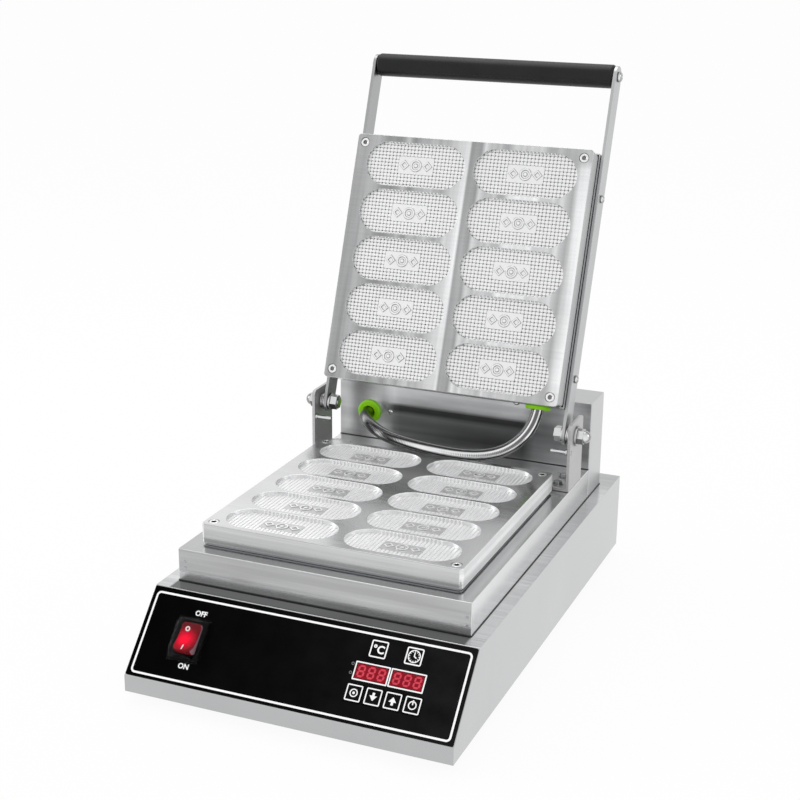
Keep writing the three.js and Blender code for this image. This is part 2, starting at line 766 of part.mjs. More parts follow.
function addLowerPlate() {
  piece(machine, 'tray', makeTray(), steel());
  piece(machine, 'lower_heater_pan', makePan(), zincSteel());
  piece(machine, 'lower_baking_plate', makePlate(plateFace, -1), aluminium());
  const heaterMiddle = plateBottom - gap - heaterRadius;
  const clampTop = heaterMiddle - heaterRadius - gap;
  piece(machine, 'lower_heater', makeHeater(heaterMiddle, -1, lowerTailLength), zincSteel());
  piece(machine, 'lower_heater_clamp', makeClamp(clampTop - clampSheet, clampTop), zincSteel());
  const woolTop = clampTop - clampSheet - gap;
  piece(machine, 'lower_insulation', makeInsulation(panFloor + panSheet + gap, woolTop), ceramicWool());
  piece(machine, 'lower_sensor', makeSensor(heaterMiddle), brightSteel());
}

// Lid, drawn closed and turned open about the hinge
function makeLidHousing() {
  const side = armInner - gap;
  const bottom = lidPlateBack + gap;
  const outer = block(-side, side, plateFront, plateRear, bottom, lidTop);
  const inner = block(
    -side + lidSheet, side - lidSheet, plateFront + lidSheet, plateRear - lidSheet,
    bottom - overrun, lidTop - lidSheet,
  );
  const hoseHole = lengthwise(
    grommetNeck + gap, lidGrommetAcross,
    plateRear - lidSheet - overrun, plateRear + overrun, lidGrommetHeight,
  );
  const armHoles = armScrewPlaces().map(([s, y]) => across(
    armScrewRadius + gap, s * (side - lidSheet - overrun), s * (side + overrun), y, hingeHeight, smallTurn,
  ));
  const posts = plateScrewPlaces.map(([x, y]) => (
    upright(postRadius, x, y, bottom, lidTop - half(lidSheet), hexSides)
  ));
  const bores = plateScrewPlaces.map(([x, y]) => (
    upright(plateScrewRadius + gap, x, y, bottom - overrun, lidTop - lidSheet - gap, smallTurn)
  ));
  return cutFrom(joined([cutFrom(outer, [inner, hoseHole, ...armHoles]), ...posts]), bores);
}

function armScrewPlaces() {
  return sides.flatMap(([, s]) => [[s, armScrewFront], [s, armScrewRear]]);
}

// A screw or nut that lies along X, on the side s, between two places from the middle
function sideways(profile, s, y, z, count = smallTurn) {
  const points = profile.map(([radius, x]) => [radius, s * x]);
  return turnedAcross(s > 0 ? points : points.reverse(), y, z, count);
}

function makeArm(s) {
  const length = armLength + armWidth;
  const bar = slab(roundedOutline(length, armWidth, half(armWidth) - gap), armInner, armOuter, endTurn);
  bar.applyMatrix4(new THREE.Matrix4().makeBasis(
    new THREE.Vector3(0, s, 0),
    new THREE.Vector3(0, 0, 1),
    new THREE.Vector3(s, 0, 0),
  )).translate(0, hingeDepth - half(armLength), hingeHeight);
  const holes = [
    [hingeDepth, pivotRadius],
    [hingeDepth - armLength, handleScrewRadius],
    [armScrewFront, armScrewRadius],
    [armScrewRear, armScrewRadius],
  ].map(([y, radius]) => across(
    radius + gap, s * (armInner - overrun), s * (armOuter + overrun), y, hingeHeight, smallTurn,
  ));
  return cutFrom(bar, holes);
}

function addLid() {
  piece(closedLid, 'upper_baking_plate', makePlate(lidPlateFace, 1), aluminium());
  piece(closedLid, 'lid_housing', makeLidHousing(), steel());
  const heaterMiddle = lidPlateBack + gap + heaterRadius;
  const clampBottom = heaterMiddle + heaterRadius + gap;
  piece(closedLid, 'upper_heater', makeHeater(heaterMiddle, 1, upperTailLength), zincSteel());
  piece(closedLid, 'upper_heater_clamp', makeClamp(clampBottom, clampBottom + clampSheet), zincSteel());
  const woolBottom = clampBottom + clampSheet + gap;
  piece(closedLid, 'upper_insulation', makeInsulation(woolBottom, lidTop - lidSheet - gap), ceramicWool());
  piece(closedLid, 'upper_sensor', makeSensor(heaterMiddle), brightSteel());
  sides.forEach(([name, s]) => piece(closedLid, `arm_${name}`, makeArm(s), steel()));
  const tip = armInner - gap - lidSheet - armScrewPast;
  const head = armOuter + gap;
  const screwProfile = [
    [0, tip], [armScrewRadius, tip], [armScrewRadius, head], [armScrewHead, head],
    [armScrewHead, head + half(armScrewHeadHeight)], [half(armScrewHead), head + armScrewHeadHeight],
    [0, head + armScrewHeadHeight],
  ];
  sides.forEach(([name, s]) => {
    [['front', armScrewFront], ['rear', armScrewRear]].forEach(([end, y]) => {
      const screw = sideways(screwProfile, s, y, hingeHeight);
      piece(closedLid, `arm_screw_${name}_${end}`, screw, brightSteel());
    });
  });
}

// Handle: a grip over a rod, held by a screw through each arm
function addHandle() {
  const y = hingeDepth - armLength;
  const end = armInner - gap;
  const bore = rodRadius + gap;
  const grip = turnedAcross([
    [bore, -end], [gripRadius - gripEdge, -end], [gripRadius, -end + gripEdge],
    [gripRadius, end - gripEdge], [gripRadius - gripEdge, end], [bore, end], [bore, -end],
  ], y, hingeHeight);
  piece(closedLid, 'handle_grip', grip, blackPlastic());
  const tapped = end - handleScrewLength - gap;
  const rod = cutFrom(across(rodRadius, -end, end, y, hingeHeight), sides.map(([, s]) => (
    across(handleScrewRadius + gap, s * tapped, s * (end + overrun), y, hingeHeight, smallTurn)
  )));
  piece(closedLid, 'handle_rod', rod, platedSteel());
  const tip = end - handleScrewLength;
  const head = armOuter + gap;
  const screwProfile = [
    [0, tip], [handleScrewRadius, tip], [handleScrewRadius, head], [handleScrewHead, head],
    [handleScrewHead, head + half(handleScrewHeadHeight)],
    [half(handleScrewHead), head + handleScrewHeadHeight], [0, head + handleScrewHeadHeight],
  ];
  sides.forEach(([name, s]) => {
    piece(closedLid, `handle_screw_${name}`, sideways(screwProfile, s, y, hingeHeight), brightSteel());
  });
}

// Hinge
const restPinHeight = hingeHeight - half(armWidth) - gap - restPinRadius;
const restPinY = hingeDepth - restPinDepth;

function makeBracket(s) {
  const bottom = trayTop + gap;
  const sheet = slab(roundedOutline(bracketDepth, bracketHeight, bracketCorner), bracketInner, bracketOuter);
  sheet.applyMatrix4(new THREE.Matrix4().makeBasis(
    new THREE.Vector3(0, s, 0),
    new THREE.Vector3(0, 0, 1),
    new THREE.Vector3(s, 0, 0),
  )).translate(0, bracketFront + half(bracketDepth), bottom + half(bracketHeight));
  const inner = s * (bracketOuter - bracketFoot);
  const outer = s * bracketOuter;
  const foot = block(
    Math.min(inner, outer), Math.max(inner, outer), bracketFront, bracketFront + bracketDepth,
    bottom, bottom + bracketSheet,
  );
  const square = block(
    Math.min(s * bracketInner, outer), Math.max(s * bracketInner, outer),
    bracketFront, bracketFront + bracketDepth, bottom, bottom + bracketCorner,
  );
  const from = s * (bracketInner - overrun);
  const to = s * (bracketOuter + overrun);
  const holes = [
    across(pivotRadius + gap, from, to, hingeDepth, hingeHeight),
    across(restPinRadius + gap, from, to, restPinY, restPinHeight, smallTurn),
    ...bracketBoltPlaces.filter(([x]) => Math.sign(x) === s).map(([x, y]) => (
      upright(plateScrewRadius + gap, x, y, bottom - overrun, bottom + bracketSheet + overrun, smallTurn)
    )),
  ];
  return cutFrom(joined([sheet, foot, square]), holes);
}

function addHinge() {
  const washerOut = armInner - gap;
  const nutOut = washerOut - innerWasherThickness;
  const nutIn = nutOut - pivotNutHeight;
  const flangeIn = bracketOuter + gap;
  const headIn = flangeIn + outerWasherThickness;
  const headHex = headIn + pivotHexHeight;
  const bore = pivotRadius + gap;
  const spacerIn = armOuter + gap;
  const spacerOut = bracketInner - gap;
  const ringPitch = (spacerOut - spacerIn) / pivotRingCount;
  const spacerProfile = [[bore, spacerIn]];
  for (let i = 0; i < pivotRingCount; i += 1) {
    const from = spacerIn + i * ringPitch;
    const to = from + ringPitch - pivotRingGroove;
    spacerProfile.push([pivotRingRadius, from], [pivotRingRadius, to]);
    if (i < pivotRingCount - 1) {
      spacerProfile.push([pivotSleeveRadius, to], [pivotSleeveRadius, from + ringPitch]);
    }
  }
  spacerProfile.push([bore, spacerOut - pivotRingGroove], [bore, spacerIn]);
  const domeSteps = half(smallTurn);
  const domeProfile = [[0, headIn], [pivotDomeRadius, headIn]];
  for (let i = 0; i < domeSteps; i += 1) {
    const rise = half(Math.PI) * i / domeSteps;
    domeProfile.push([pivotDomeRadius * Math.cos(rise), headHex + pivotDomeRadius * Math.sin(rise)]);
  }
  domeProfile.push([0, headHex + pivotDomeRadius]);
  const collar = bracketInner - gap;
  const pin = [
    [0, bracketInner - restPinLength], [restPinRadius, bracketInner - restPinLength],
    [restPinRadius, collar - restPinCollarLength], [restPinCollar, collar - restPinCollarLength],
    [restPinCollar, collar], [restPinRadius, collar], [restPinRadius, bracketOuter], [0, bracketOuter],
  ];
  sides.forEach(([name, s]) => {
    const onAxis = (radius, from, to, count = turn) => (
      across(radius, s * from, s * to, hingeDepth, hingeHeight, count)
    );
    piece(machine, `bracket_${name}`, makeBracket(s), steel());
    piece(machine, `pivot_bolt_${name}`, joined([
      onAxis(pivotRadius, nutIn - gap, headIn),
      onAxis(outerWasherRadius, flangeIn, headIn),
      onAxis(pivotNutRadius, headIn - half(outerWasherThickness), headHex, hexSides),
      sideways(domeProfile, s, hingeDepth, hingeHeight, turn),
    ]), brightSteel());
    piece(machine, `pivot_nut_${name}`, cutFrom(
      joined([
        onAxis(pivotNutRadius, nutIn, nutOut + half(innerWasherThickness), hexSides),
        onAxis(innerWasherRadius, nutOut, washerOut),
      ]),
      [onAxis(bore, nutIn - overrun, washerOut + overrun)],
    ), brightSteel());
    const spacer = sideways(spacerProfile, s, hingeDepth, hingeHeight, turn);
    piece(machine, `pivot_spacer_${name}`, spacer, brightSteel());
    const restPin = sideways(pin, s, restPinY, restPinHeight, smallTurn);
    piece(machine, `rest_pin_${name}`, restPin, brightSteel());
  });
}

// Rear box, the terminal block inside it, and the cable gland in the base below it
function makeRearBox() {
  const outer = block(-trayHalf, trayHalf, trayRear, boxRear, baseHeight + gap, boxTop);
  const inner = block(
    -trayHalf + boxSheet, trayHalf - boxSheet, trayRear + boxSheet, boxRear - boxSheet,
    baseHeight - overrun, boxTop - boxSheet,
  );
  const holes = [
    [grommetNeck, boxGrommetAcross, boxGrommetHeight],
    [boxScrewRadius, boxScrewAcross, boxScrewHeight],
  ].map(([radius, x, z]) => (
    lengthwise(radius + gap, x, trayRear - overrun, trayRear + boxSheet + overrun, z)
  ));
  return cutFrom(outer, [inner, ...holes]);
}

function addGland() {
  const flangeIn = baseDepth + gap;
  const nutIn = flangeIn + glandFlangeLength;
  const inside = baseDepth - baseSheet - gap - locknutLength - glandBack;
  piece(machine, 'cable_gland', turnedLengthwise([
    [glandBore, inside], [glandNeck, inside], [glandNeck, flangeIn], [glandFlange, flangeIn],
    [glandFlange, nutIn], [glandNutRadius, nutIn], [glandNutRadius, nutIn + half(glandNutLength)],
    [glandNutTip, nutIn + glandNutLength], [glandBore, nutIn + glandNutLength], [glandBore, inside],
  ], glandAcross, glandHeight), blackPlastic());
  const nutOut = baseDepth - baseSheet - gap;
  const nutBack = nutOut - locknutLength;
  piece(machine, 'gland_nut', cutFrom(
    lengthwise(locknutRadius, glandAcross, nutBack, nutOut, glandHeight, hexSides),
    [lengthwise(glandNeck + gap, glandAcross, nutBack - overrun, nutOut + overrun, glandHeight)],
  ), blackPlastic());
}

function addRearBox() {
  piece(machine, 'rear_box', makeRearBox(), steel());
  const blockFront = trayRear + boxSheet + gap;
  const blockLeft = boxScrewAcross + half(blockHeight) - half(blockWidth);
  const bored = blockFront + half(blockDepth);
  const terminal = cutFrom(
    block(
      blockLeft, blockLeft + blockWidth, blockFront, blockFront + blockDepth,
      boxScrewHeight - half(blockHeight), boxScrewHeight + half(blockHeight),
    ),
    [lengthwise(
      boxScrewRadius + gap, boxScrewAcross, blockFront - overrun, bored, boxScrewHeight, smallTurn,
    )],
  );
  piece(machine, 'terminal_block', terminal, blockWhite());
  const tip = bored - gap;
  piece(machine, 'box_screw', turnedLengthwise([
    [0, trayRear - gap - boxScrewHeadHeight], [half(boxScrewHead), trayRear - gap - boxScrewHeadHeight],
    [boxScrewHead, trayRear - gap - half(boxScrewHeadHeight)], [boxScrewHead, trayRear - gap],
    [boxScrewRadius, trayRear - gap], [boxScrewRadius, tip], [0, tip],
  ], boxScrewAcross, boxScrewHeight, smallTurn), brightSteel());
}

// Grommets and the ribbed metal hose
function grommetProfile(wallOut, wallIn) {
  const s = Math.sign(wallOut - wallIn);
  const bore = hoseRadius + gap;
  const inside = wallIn - s * gap;
  const outside = wallOut + s * gap;
  const profile = [
    [bore, inside - s * grommetBackLength], [grommetBackFlange, inside - s * grommetBackLength],
    [grommetBackFlange, inside], [grommetNeck, inside], [grommetNeck, outside],
    [grommetFlange, outside], [grommetFlange, outside + s * half(grommetFlangeLength)],
    [grommetFlange - half(grommetFlangeLength), outside + s * grommetFlangeLength],
    [bore, outside + s * grommetFlangeLength], [bore, inside - s * grommetBackLength],
  ];
  return s > 0 ? profile : profile.reverse();
}

// Rings of points square to the route, joined into one skin outside and one inside
function makeHose() {
  const points = hoseRoute.map(([x, y, z]) => new THREE.Vector3(x, y, z));
  const curve = new THREE.CatmullRomCurve3(points, false, 'centripetal');
  const rings = [];
  const plainShare = (hoseRadius + hoseRadius) / curve.getLength();
  const ringCount = hoseRibs + hoseRibs;
  let upward = new THREE.Vector3(1, 0, 0);
  const addRing = (share, radius) => {
    const middle = curve.getPointAt(share);
    const along = curve.getTangentAt(share);
    const side = new THREE.Vector3().crossVectors(along, upward).normalize();
    upward = new THREE.Vector3().crossVectors(side, along).normalize();
    rings.push(Array.from({ length: hoseSides }, (_, k) => {
      const angle = fullTurn * k / hoseSides;
      return middle.clone()
        .addScaledVector(side, radius * Math.cos(angle))
        .addScaledVector(upward, radius * Math.sin(angle));
    }));
  };
  for (let i = 0; i <= ringCount; i += 1) {
    const share = i / ringCount;
    const plain = share < plainShare || share > 1 - plainShare;
    addRing(share, plain || i % 2 === 0 ? hoseRadius : hoseRadius - hoseRibDepth);
  }
  const boreCount = Math.ceil(hoseRibs / ribsPerBoreRing);
  for (let i = boreCount; i >= 0; i -= 1) addRing(i / boreCount, hoseBore);
  const flat = rings.flat();
  const place = (r, k) => (r % rings.length) * hoseSides + (k % hoseSides);
  const faces = [];
  for (let r = 0; r < rings.length; r += 1) {
    for (let k = 0; k < hoseSides; k += 1) {
      const a = place(r, k);
      const b = place(r, k + 1);
      const c = place(r + 1, k + 1);
      const d = place(r + 1, k);
      faces.push(a, c, b, a, d, c);
    }
  }
  const geometry = new THREE.BufferGeometry();
  const places = flat.flatMap((p) => [p.x, p.y, p.z]);
  geometry.setAttribute('position', new THREE.Float32BufferAttribute(places, 3));
  geometry.setIndex(faces);
  geometry.computeVertexNormals();
  return geometry;
}

function addHose() {
  piece(machine, 'box_grommet', turnedLengthwise(
    grommetProfile(trayRear, trayRear + boxSheet), boxGrommetAcross, boxGrommetHeight,
  ), greenSilicone());
  piece(closedLid, 'lid_grommet', turnedLengthwise(
    grommetProfile(plateRear, plateRear - lidSheet), lidGrommetAcross, lidGrommetHeight,
  ), greenSilicone());
  piece(machine, 'wire_hose', makeHose(), brightSteel());
}

// Control panel, drawn flat: X across, Y up the slope, Z out
const filmTop = gap + filmThickness;
const boardTop = -baseSheet - gap - displayModuleDepth - gap;

function makeFilm() {
  const width = baseWidth - filmMargin - filmMargin;
  const height = slopeLength - filmMargin - filmMargin;
  const film = slab(roundedOutline(width, height, filmCorner, 0, half(slopeLength)), gap, filmTop);
  return cutFrom(film, panelWindows(-overrun, filmTop + overrun));
}

function makeDisplay(x) {
  const back = -baseSheet - gap;
  return joined([
    centredBlock(x, displayUp, displayModuleWidth, displayModuleHeight, back - displayModuleDepth, back),
    centredBlock(x, displayUp, displayWidth, displayHeight, back - gap, filmTop + displayProud),
  ]);
}

function makeButton(x) {
  const back = -baseSheet - gap;
  const flangeSide = buttonSide + buttonFlange + buttonFlange;
  return joined([
    centredBlock(x, buttonUp, flangeSide, flangeSide, back - buttonFlangeThickness, back),
    centredBlock(x, buttonUp, buttonSide, buttonSide, back - gap, filmTop + buttonProud),
    upright(
      buttonStem, x, buttonUp, back - buttonFlangeThickness - buttonStemLength, back - gap, smallTurn,
    ),
  ]);
}

function makeSwitchBody() {
  const halfWell = half(rockerLength) + rockerWellClearance + rockerEnd * Math.sin(rockerTilt);
  const rimBottom = filmTop + gap;
  const rimWidth = switchWidth + switchRim + switchRim;
  const rimLength = switchHeight + switchRim + switchRim;
  const blades = corners.map(([sx, sy]) => centredBlock(
    switchAcross + sx * bladeSpread, switchUp + sy * bladeSpread, bladeThickness, bladeWidth,
    -switchDepth - bladeLength, -switchDepth + bladeRoot,
  ));
  const body = joined([
    ...blades,
    centredBlock(switchAcross, switchUp, switchWidth, switchHeight, -switchDepth, rimBottom + gap),
    centredBlock(switchAcross, switchUp, rimWidth, rimLength, rimBottom, rimBottom + switchRimHeight),
  ]);
  return cutFrom(body, [centredBlock(
    switchAcross, switchUp, rockerWidth + gap + gap, halfWell + halfWell,
    -rockerWellDepth, rimBottom + switchRimHeight + overrun,
  )]);
}

function makeRocker() {
  const end = half(rockerLength);
  const profile = [
    [-end, rockerShoulder], [-rockerRootHalf, -rockerRoot], [rockerRootHalf, -rockerRoot],
    [end, rockerShoulder], [end, rockerEnd], [0, rockerMiddle], [-end, rockerEnd],
  ];
  const rocker = carriedAcross(profile, switchAcross - half(rockerWidth), switchAcross + half(rockerWidth));
  return rocker.rotateX(-rockerTilt).translate(0, switchUp, -rockerAxisDepth);
}

function makeBoot() {
  const inner = [switchWidth, switchHeight].map((side) => half(side) + switchRim + bootClearance);
  const outer = inner.map((reach) => reach + bootWall);
  const foot = filmTop + gap;
  const shell = slab(
    roundedOutline(outer[0] + outer[0], outer[1] + outer[1], bootCorner, switchAcross, switchUp),
    foot, foot + bootHeight,
  );
  const hollow = slab(
    roundedOutline(inner[0] + inner[0], inner[1] + inner[1], bootCorner - bootWall, switchAcross, switchUp),
    foot - overrun, foot + bootHeight - bootWall,
  );
  return cutFrom(shell, [hollow]);
}

function addPanel() {
  piece(panel, 'panel_film', makeFilm(), blackFilm());
  piece(panel, 'temperature_display', makeDisplay(displayPlaces[0]), displayRed());
  piece(panel, 'timer_display', makeDisplay(displayPlaces[1]), displayRed());
  buttonPlaces.forEach((x, i) => piece(panel, `button_${i + 1}`, makeButton(x), keyGrey()));
  const stemEnd = -baseSheet - gap - buttonFlangeThickness - buttonStemLength;
  const keySwitches = buttonPlaces.map((x) => (
    centredBlock(x, buttonUp, tactSide, tactSide, boardTop - gap, stemEnd - buttonTravel - gap)
  ));
  const board = centredBlock(
    boardAcross, boardUp, boardWidth, boardHeight, boardTop - boardThickness, boardTop,
  );
  piece(panel, 'control_board', joined([board, ...keySwitches]), circuitGreen());
  piece(panel, 'switch_body', makeSwitchBody(), blackPlastic());
  piece(panel, 'rocker', makeRocker(), switchRed());
  piece(panel, 'switch_boot', makeBoot(), clearPlastic());
}

// Power board on the bottom plate, with a relay for each plate
function addPowerBoard() {
  const bottom = bottomSheet + standoffHeight + gap;
  const top = bottom + boardThickness;
  const board = centredBlock(powerBoardSide, powerBoardFront, powerBoardWidth, powerBoardDepth, bottom, top);
  const relayAcross = powerBoardSide + half(powerBoardWidth) - relayInset;
  const relays = [-1, 1].map((s) => centredBlock(
    relayAcross, powerBoardFront + s * relayPitch, relayWidth, relayDepth, top - gap, top + relayHeight,
  ));
  piece(machine, 'power_board', joined([board, ...relays]), circuitGreen());
}

addBase();
addLowerPlate();
addLid();
addHandle();
addHinge();
addRearBox();
addGland();
addHose();
addPanel();
addPowerBoard();

lid.position.set(0, hingeDepth, hingeHeight);
lid.rotation.x = -openAngle;
closedLid.position.set(0, -hingeDepth, -hingeHeight);
lid.add(closedLid);
panel.position.set(0, 0, lipHeight);
panel.rotation.x = slopeAngle;
machine.add(lid, panel);
machine.position.set(0, -half(rearReach), footHeight);

const cookieMaker = new THREE.Group();
cookieMaker.add(machine);

export default cookieMaker;
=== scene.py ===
"""An electric cookie maker, open, with ten pocketed cavities in each of its two baking plates.

Sizes are in the machine's own millimetres: across from its middle, back from its front lip and up from the
base's bottom edge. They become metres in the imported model's frame only when a mesh is made.
"""

import logging
import math
from collections.abc import Callable, Iterable, Sequence
from dataclasses import dataclass
from enum import Enum
from functools import cached_property

import bmesh
import bpy
import numpy as np
from mathutils import Matrix, Vector


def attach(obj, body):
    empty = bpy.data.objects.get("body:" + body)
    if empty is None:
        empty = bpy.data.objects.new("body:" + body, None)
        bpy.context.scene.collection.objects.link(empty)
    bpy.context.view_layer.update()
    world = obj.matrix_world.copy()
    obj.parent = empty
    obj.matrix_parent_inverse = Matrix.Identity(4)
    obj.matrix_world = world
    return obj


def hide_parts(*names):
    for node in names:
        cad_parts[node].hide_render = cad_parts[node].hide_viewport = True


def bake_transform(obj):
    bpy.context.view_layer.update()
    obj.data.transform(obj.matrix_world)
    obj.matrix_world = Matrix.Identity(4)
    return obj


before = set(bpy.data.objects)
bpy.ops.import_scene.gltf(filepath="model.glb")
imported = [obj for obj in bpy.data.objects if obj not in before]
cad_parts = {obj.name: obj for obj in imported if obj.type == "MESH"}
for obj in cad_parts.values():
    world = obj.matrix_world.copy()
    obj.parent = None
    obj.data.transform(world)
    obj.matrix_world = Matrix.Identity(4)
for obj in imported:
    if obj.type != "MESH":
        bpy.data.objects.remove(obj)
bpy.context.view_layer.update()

log = logging.getLogger("cookie_maker")

MM = 0.001
HALF_REACH = 243.2
FOOT_HEIGHT = 8.0
GAP = 0.3
FULL_TURN = 2 * math.pi
SHARP_ANGLE = math.radians(32)
# Points of a mesh that are nearer than this, in metres, are one
MERGE = 2e-6
WHITE = (1.0, 1.0, 1.0)

Colour = tuple[float, float, float]
Point = tuple[float, float, float]
Pair = tuple[float, float]
Profile = Sequence[Pair]
Socket = bpy.types.NodeSocket
Material = bpy.types.Material
# What a shader node's input can be given
Entry = Socket | Colour | float


def in_row(points: np.ndarray | Sequence) -> np.ndarray:
    """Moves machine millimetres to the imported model's frame, in metres.

    Args:
        points: one place or an array of places: across, back from the lip, up from the base's edge.

    Returns:
        The same places, as an array in metres.
    """
    return (np.asarray(points, float) - (0.0, HALF_REACH, -FOOT_HEIGHT)) * MM


class Body(Enum):
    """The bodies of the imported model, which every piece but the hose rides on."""

    BASE = "base"
    LID = "lid"
    ROCKER = "power_rocker"
    KEY_1 = "key_1"
    KEY_2 = "key_2"
    KEY_3 = "key_3"
    KEY_4 = "key_4"


class Slot(Enum):
    """The material slots of the record."""

    STAINLESS = "stainless"
    BRIGHT_STEEL = "bright_steel"
    HOSE_METAL = "hose_metal"
    ALUMINIUM = "milled_aluminium"
    BLACK_PLASTIC = "black_plastic"
    FILM = "black_film"
    KEY = "key_black"
    RUBBER = "black_rubber"
    SILICONE = "green_silicone"
    DISPLAY = "display_red"
    SWITCH = "switch_red"
    CLEAR = "clear_cover"


@dataclass(frozen=True)
class Placing:
    """A frame that a sub-assembly is drawn in: its origin and three directions, in machine millimetres."""

    origin: Point
    across: Point = (1.0, 0.0, 0.0)
    along: Point = (0.0, 1.0, 0.0)
    out: Point = (0.0, 0.0, 1.0)

    @property
    def axes(self) -> np.ndarray:
        """The three directions, one a row."""
        return np.array([self.across, self.along, self.out], float)

    def place(self, points: np.ndarray) -> np.ndarray:
        """Moves drawn points into the machine: origin + x times across + y times along + z times out."""
        return np.asarray(points, float) @ self.axes + np.asarray(self.origin, float)

    def holding(self, inner: "Placing") -> "Placing":
        """Where a placing that is drawn in this one stands in the machine."""
        return Placing(tuple(self.place(np.array(inner.origin))), *map(tuple, inner.axes @ self.axes))


MACHINE = Placing((0.0, 0.0, 0.0))


def leant(origin: Point, angle: float) -> Placing:
    """A placing that is turned about X by an angle in radians."""
    c = math.cos(angle)
    s = math.sin(angle)
    return Placing(origin, (1.0, 0.0, 0.0), (0.0, c, s), (0.0, -s, c))


@dataclass(frozen=True)
class Sizes:
    """The driving sizes of the machine, in millimetres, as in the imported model."""

    base_width: float = 290.0
    base_depth: float = 466.6
    base_height: float = 73.5
    lip_height: float = 15.0
    slope_run: float = 54.5
    tray_half: float = 131.85
    tray_front: float = 69.9
    tray_top: float = 102.5
    tray_rear: float = 394.65
    box_rear: float = 437.4
    plate_half: float = 118.05
    plate_front: float = 84.7
    plate_rear: float = 323.0
    plate_face: float = 122.0
    plate_thickness: float = 17.3
    closed_gap: float = 0.5
    lid_half: float = 119.7
    hinge_depth: float = 345.9
    hinge_height: float = 152.7
    open_degrees: float = 110.4
    arm_inner: float = 120.0
    arm_outer: float = 123.0
    arm_width: float = 20.0
    handle_depth: float = 9.0
    bracket_outer: float = 131.5

    @property
    def slope_angle(self) -> float:
        """The control panel's lean back from the floor, in radians."""
        return math.atan2(self.base_height - self.lip_height, self.slope_run)

    @property
    def plate_middle(self) -> float:
        """How far back the middle of the closed baking plates is."""
        return (self.plate_front + self.plate_rear) / 2

    @property
    def panel(self) -> Placing:
        """The frame of the control panel: x across, y up the slope from the lip, z out of the sheet."""
        return leant((0.0, 0.0, self.lip_height), self.slope_angle)

    @property
    def opened(self) -> Placing:
        """The turn that carries the lid, drawn closed, to where it rests open."""
        angle = -math.radians(self.open_degrees)
        axis = np.array([0.0, self.hinge_depth, self.hinge_height])
        turned_axis = leant((0.0, 0.0, 0.0), angle).place(axis)
        return leant(tuple(axis - turned_axis), angle)


SIZES = Sizes()
CORNERS = ((-1, -1), (1, -1), (1, 1), (-1, 1))
SIDES = (("left", -1), ("right", 1))


class Skin:
    """The points and faces of one piece, gathered from grids, in the frame that it is drawn in."""

    def __init__(self) -> None:
        """Starts with nothing."""
        self.blocks: list[np.ndarray] = []
        self.faces: list[list[int]] = []
        self.count = 0

    def grid(self, points: np.ndarray, around: bool = False, ends: bool = False,
             closed: bool = False) -> "Skin":
        """Adds a sheet of quads over a grid: point (i, j) joins (i + 1, j), (i + 1, j + 1) and (i, j + 1).

        Args:
            points: an array of rows by columns by 3.
            around: joins the last column to the first.
            ends: closes the first and the last row with one face each.
            closed: joins the last row to the first.

        Returns:
            This skin, so that calls can follow each other.
        """
        rows, columns = points.shape[:2]
        index = np.arange(rows * columns).reshape(rows, columns) + self.count
        wrapped = np.hstack([index, index[:, :1]]) if around else index
        wrapped = np.vstack([wrapped, wrapped[:1]]) if closed else wrapped
        quads = np.stack([wrapped[:-1, :-1], wrapped[1:, :-1], wrapped[1:, 1:], wrapped[:-1, 1:]], -1)
        self.faces.extend(quads.reshape(-1, 4).tolist())
        if ends:
            self.faces.extend([index[0].tolist(), index[-1][::-1].tolist()])
        self.blocks.append(points.reshape(-1, 3))
        self.count += rows * columns
        return self

    def add(self, other: "Skin", placing: Placing = MACHINE) -> "Skin":
        """Adds another skin's points and faces, moved by a placing."""
        self.faces.extend([[i + self.count for i in face] for face in other.faces])
        self.blocks.append(placing.place(other.points()))
        self.count += other.count
        return self

    def points(self) -> np.ndarray:
        """All the points gathered so far."""
        return np.concatenate(self.blocks) if self.blocks else np.zeros((0, 3))


def arc(start: float, end: float, steps: int) -> np.ndarray:
    """Angles in radians from start to end degrees, both included."""
    return np.radians(np.linspace(start, end, steps + 1))


def circle(radius: float, sides: int, x: float = 0.0, y: float = 0.0) -> np.ndarray:
    """An outline: middle plus radius times (cos, sin) of equal turns."""
    turns = np.arange(sides) * FULL_TURN / sides
    return np.stack([x + radius * np.cos(turns), y + radius * np.sin(turns)], -1)


def rounded(width: float, depth: float, corner: float, steps: int = 6,
            x: float = 0.0, y: float = 0.0) -> np.ndarray:
    """A rectangle's outline with round corners: each corner's middle plus corner times (cos, sin).

    Args:
        width: full size across.
        depth: full size along.
        corner: radius of the corners.
        steps: steps in each quarter turn.
        x: middle across.
        y: middle along.

    Returns:
        An array of points by 2, going round to the left.
    """
    least = 0.001
    corner = max(min(corner, width / 2 - least, depth / 2 - least), least)
    quarters = []
    for number, (sx, sy) in enumerate(((1, 1), (-1, 1), (-1, -1), (1, -1))):
        turn = arc(90 * number, 90 * number + 90, steps)
        quarters.append(np.stack([
            x + sx * (width / 2 - corner) + corner * np.cos(turn),
            y + sy * (depth / 2 - corner) + corner * np.sin(turn),
        ], -1))
    return np.concatenate(quarters)


def at_height(outline: np.ndarray, height: float) -> np.ndarray:
    """A flat outline as points at one height."""
    return np.column_stack([outline, np.full(len(outline), height)])


def stacked(outline: Callable[[float], np.ndarray], levels: Profile) -> Skin:
    """A closed solid of outlines laid over each other.

    Args:
        outline: gives the outline pulled in by an inset, always with as many points.
        levels: pairs of inset and height, from one end to the other.

    Returns:
        The solid's skin.
    """
    rings = [at_height(outline(inset), height) for inset, height in levels]
    return Skin().grid(np.array(rings), around=True, ends=True)


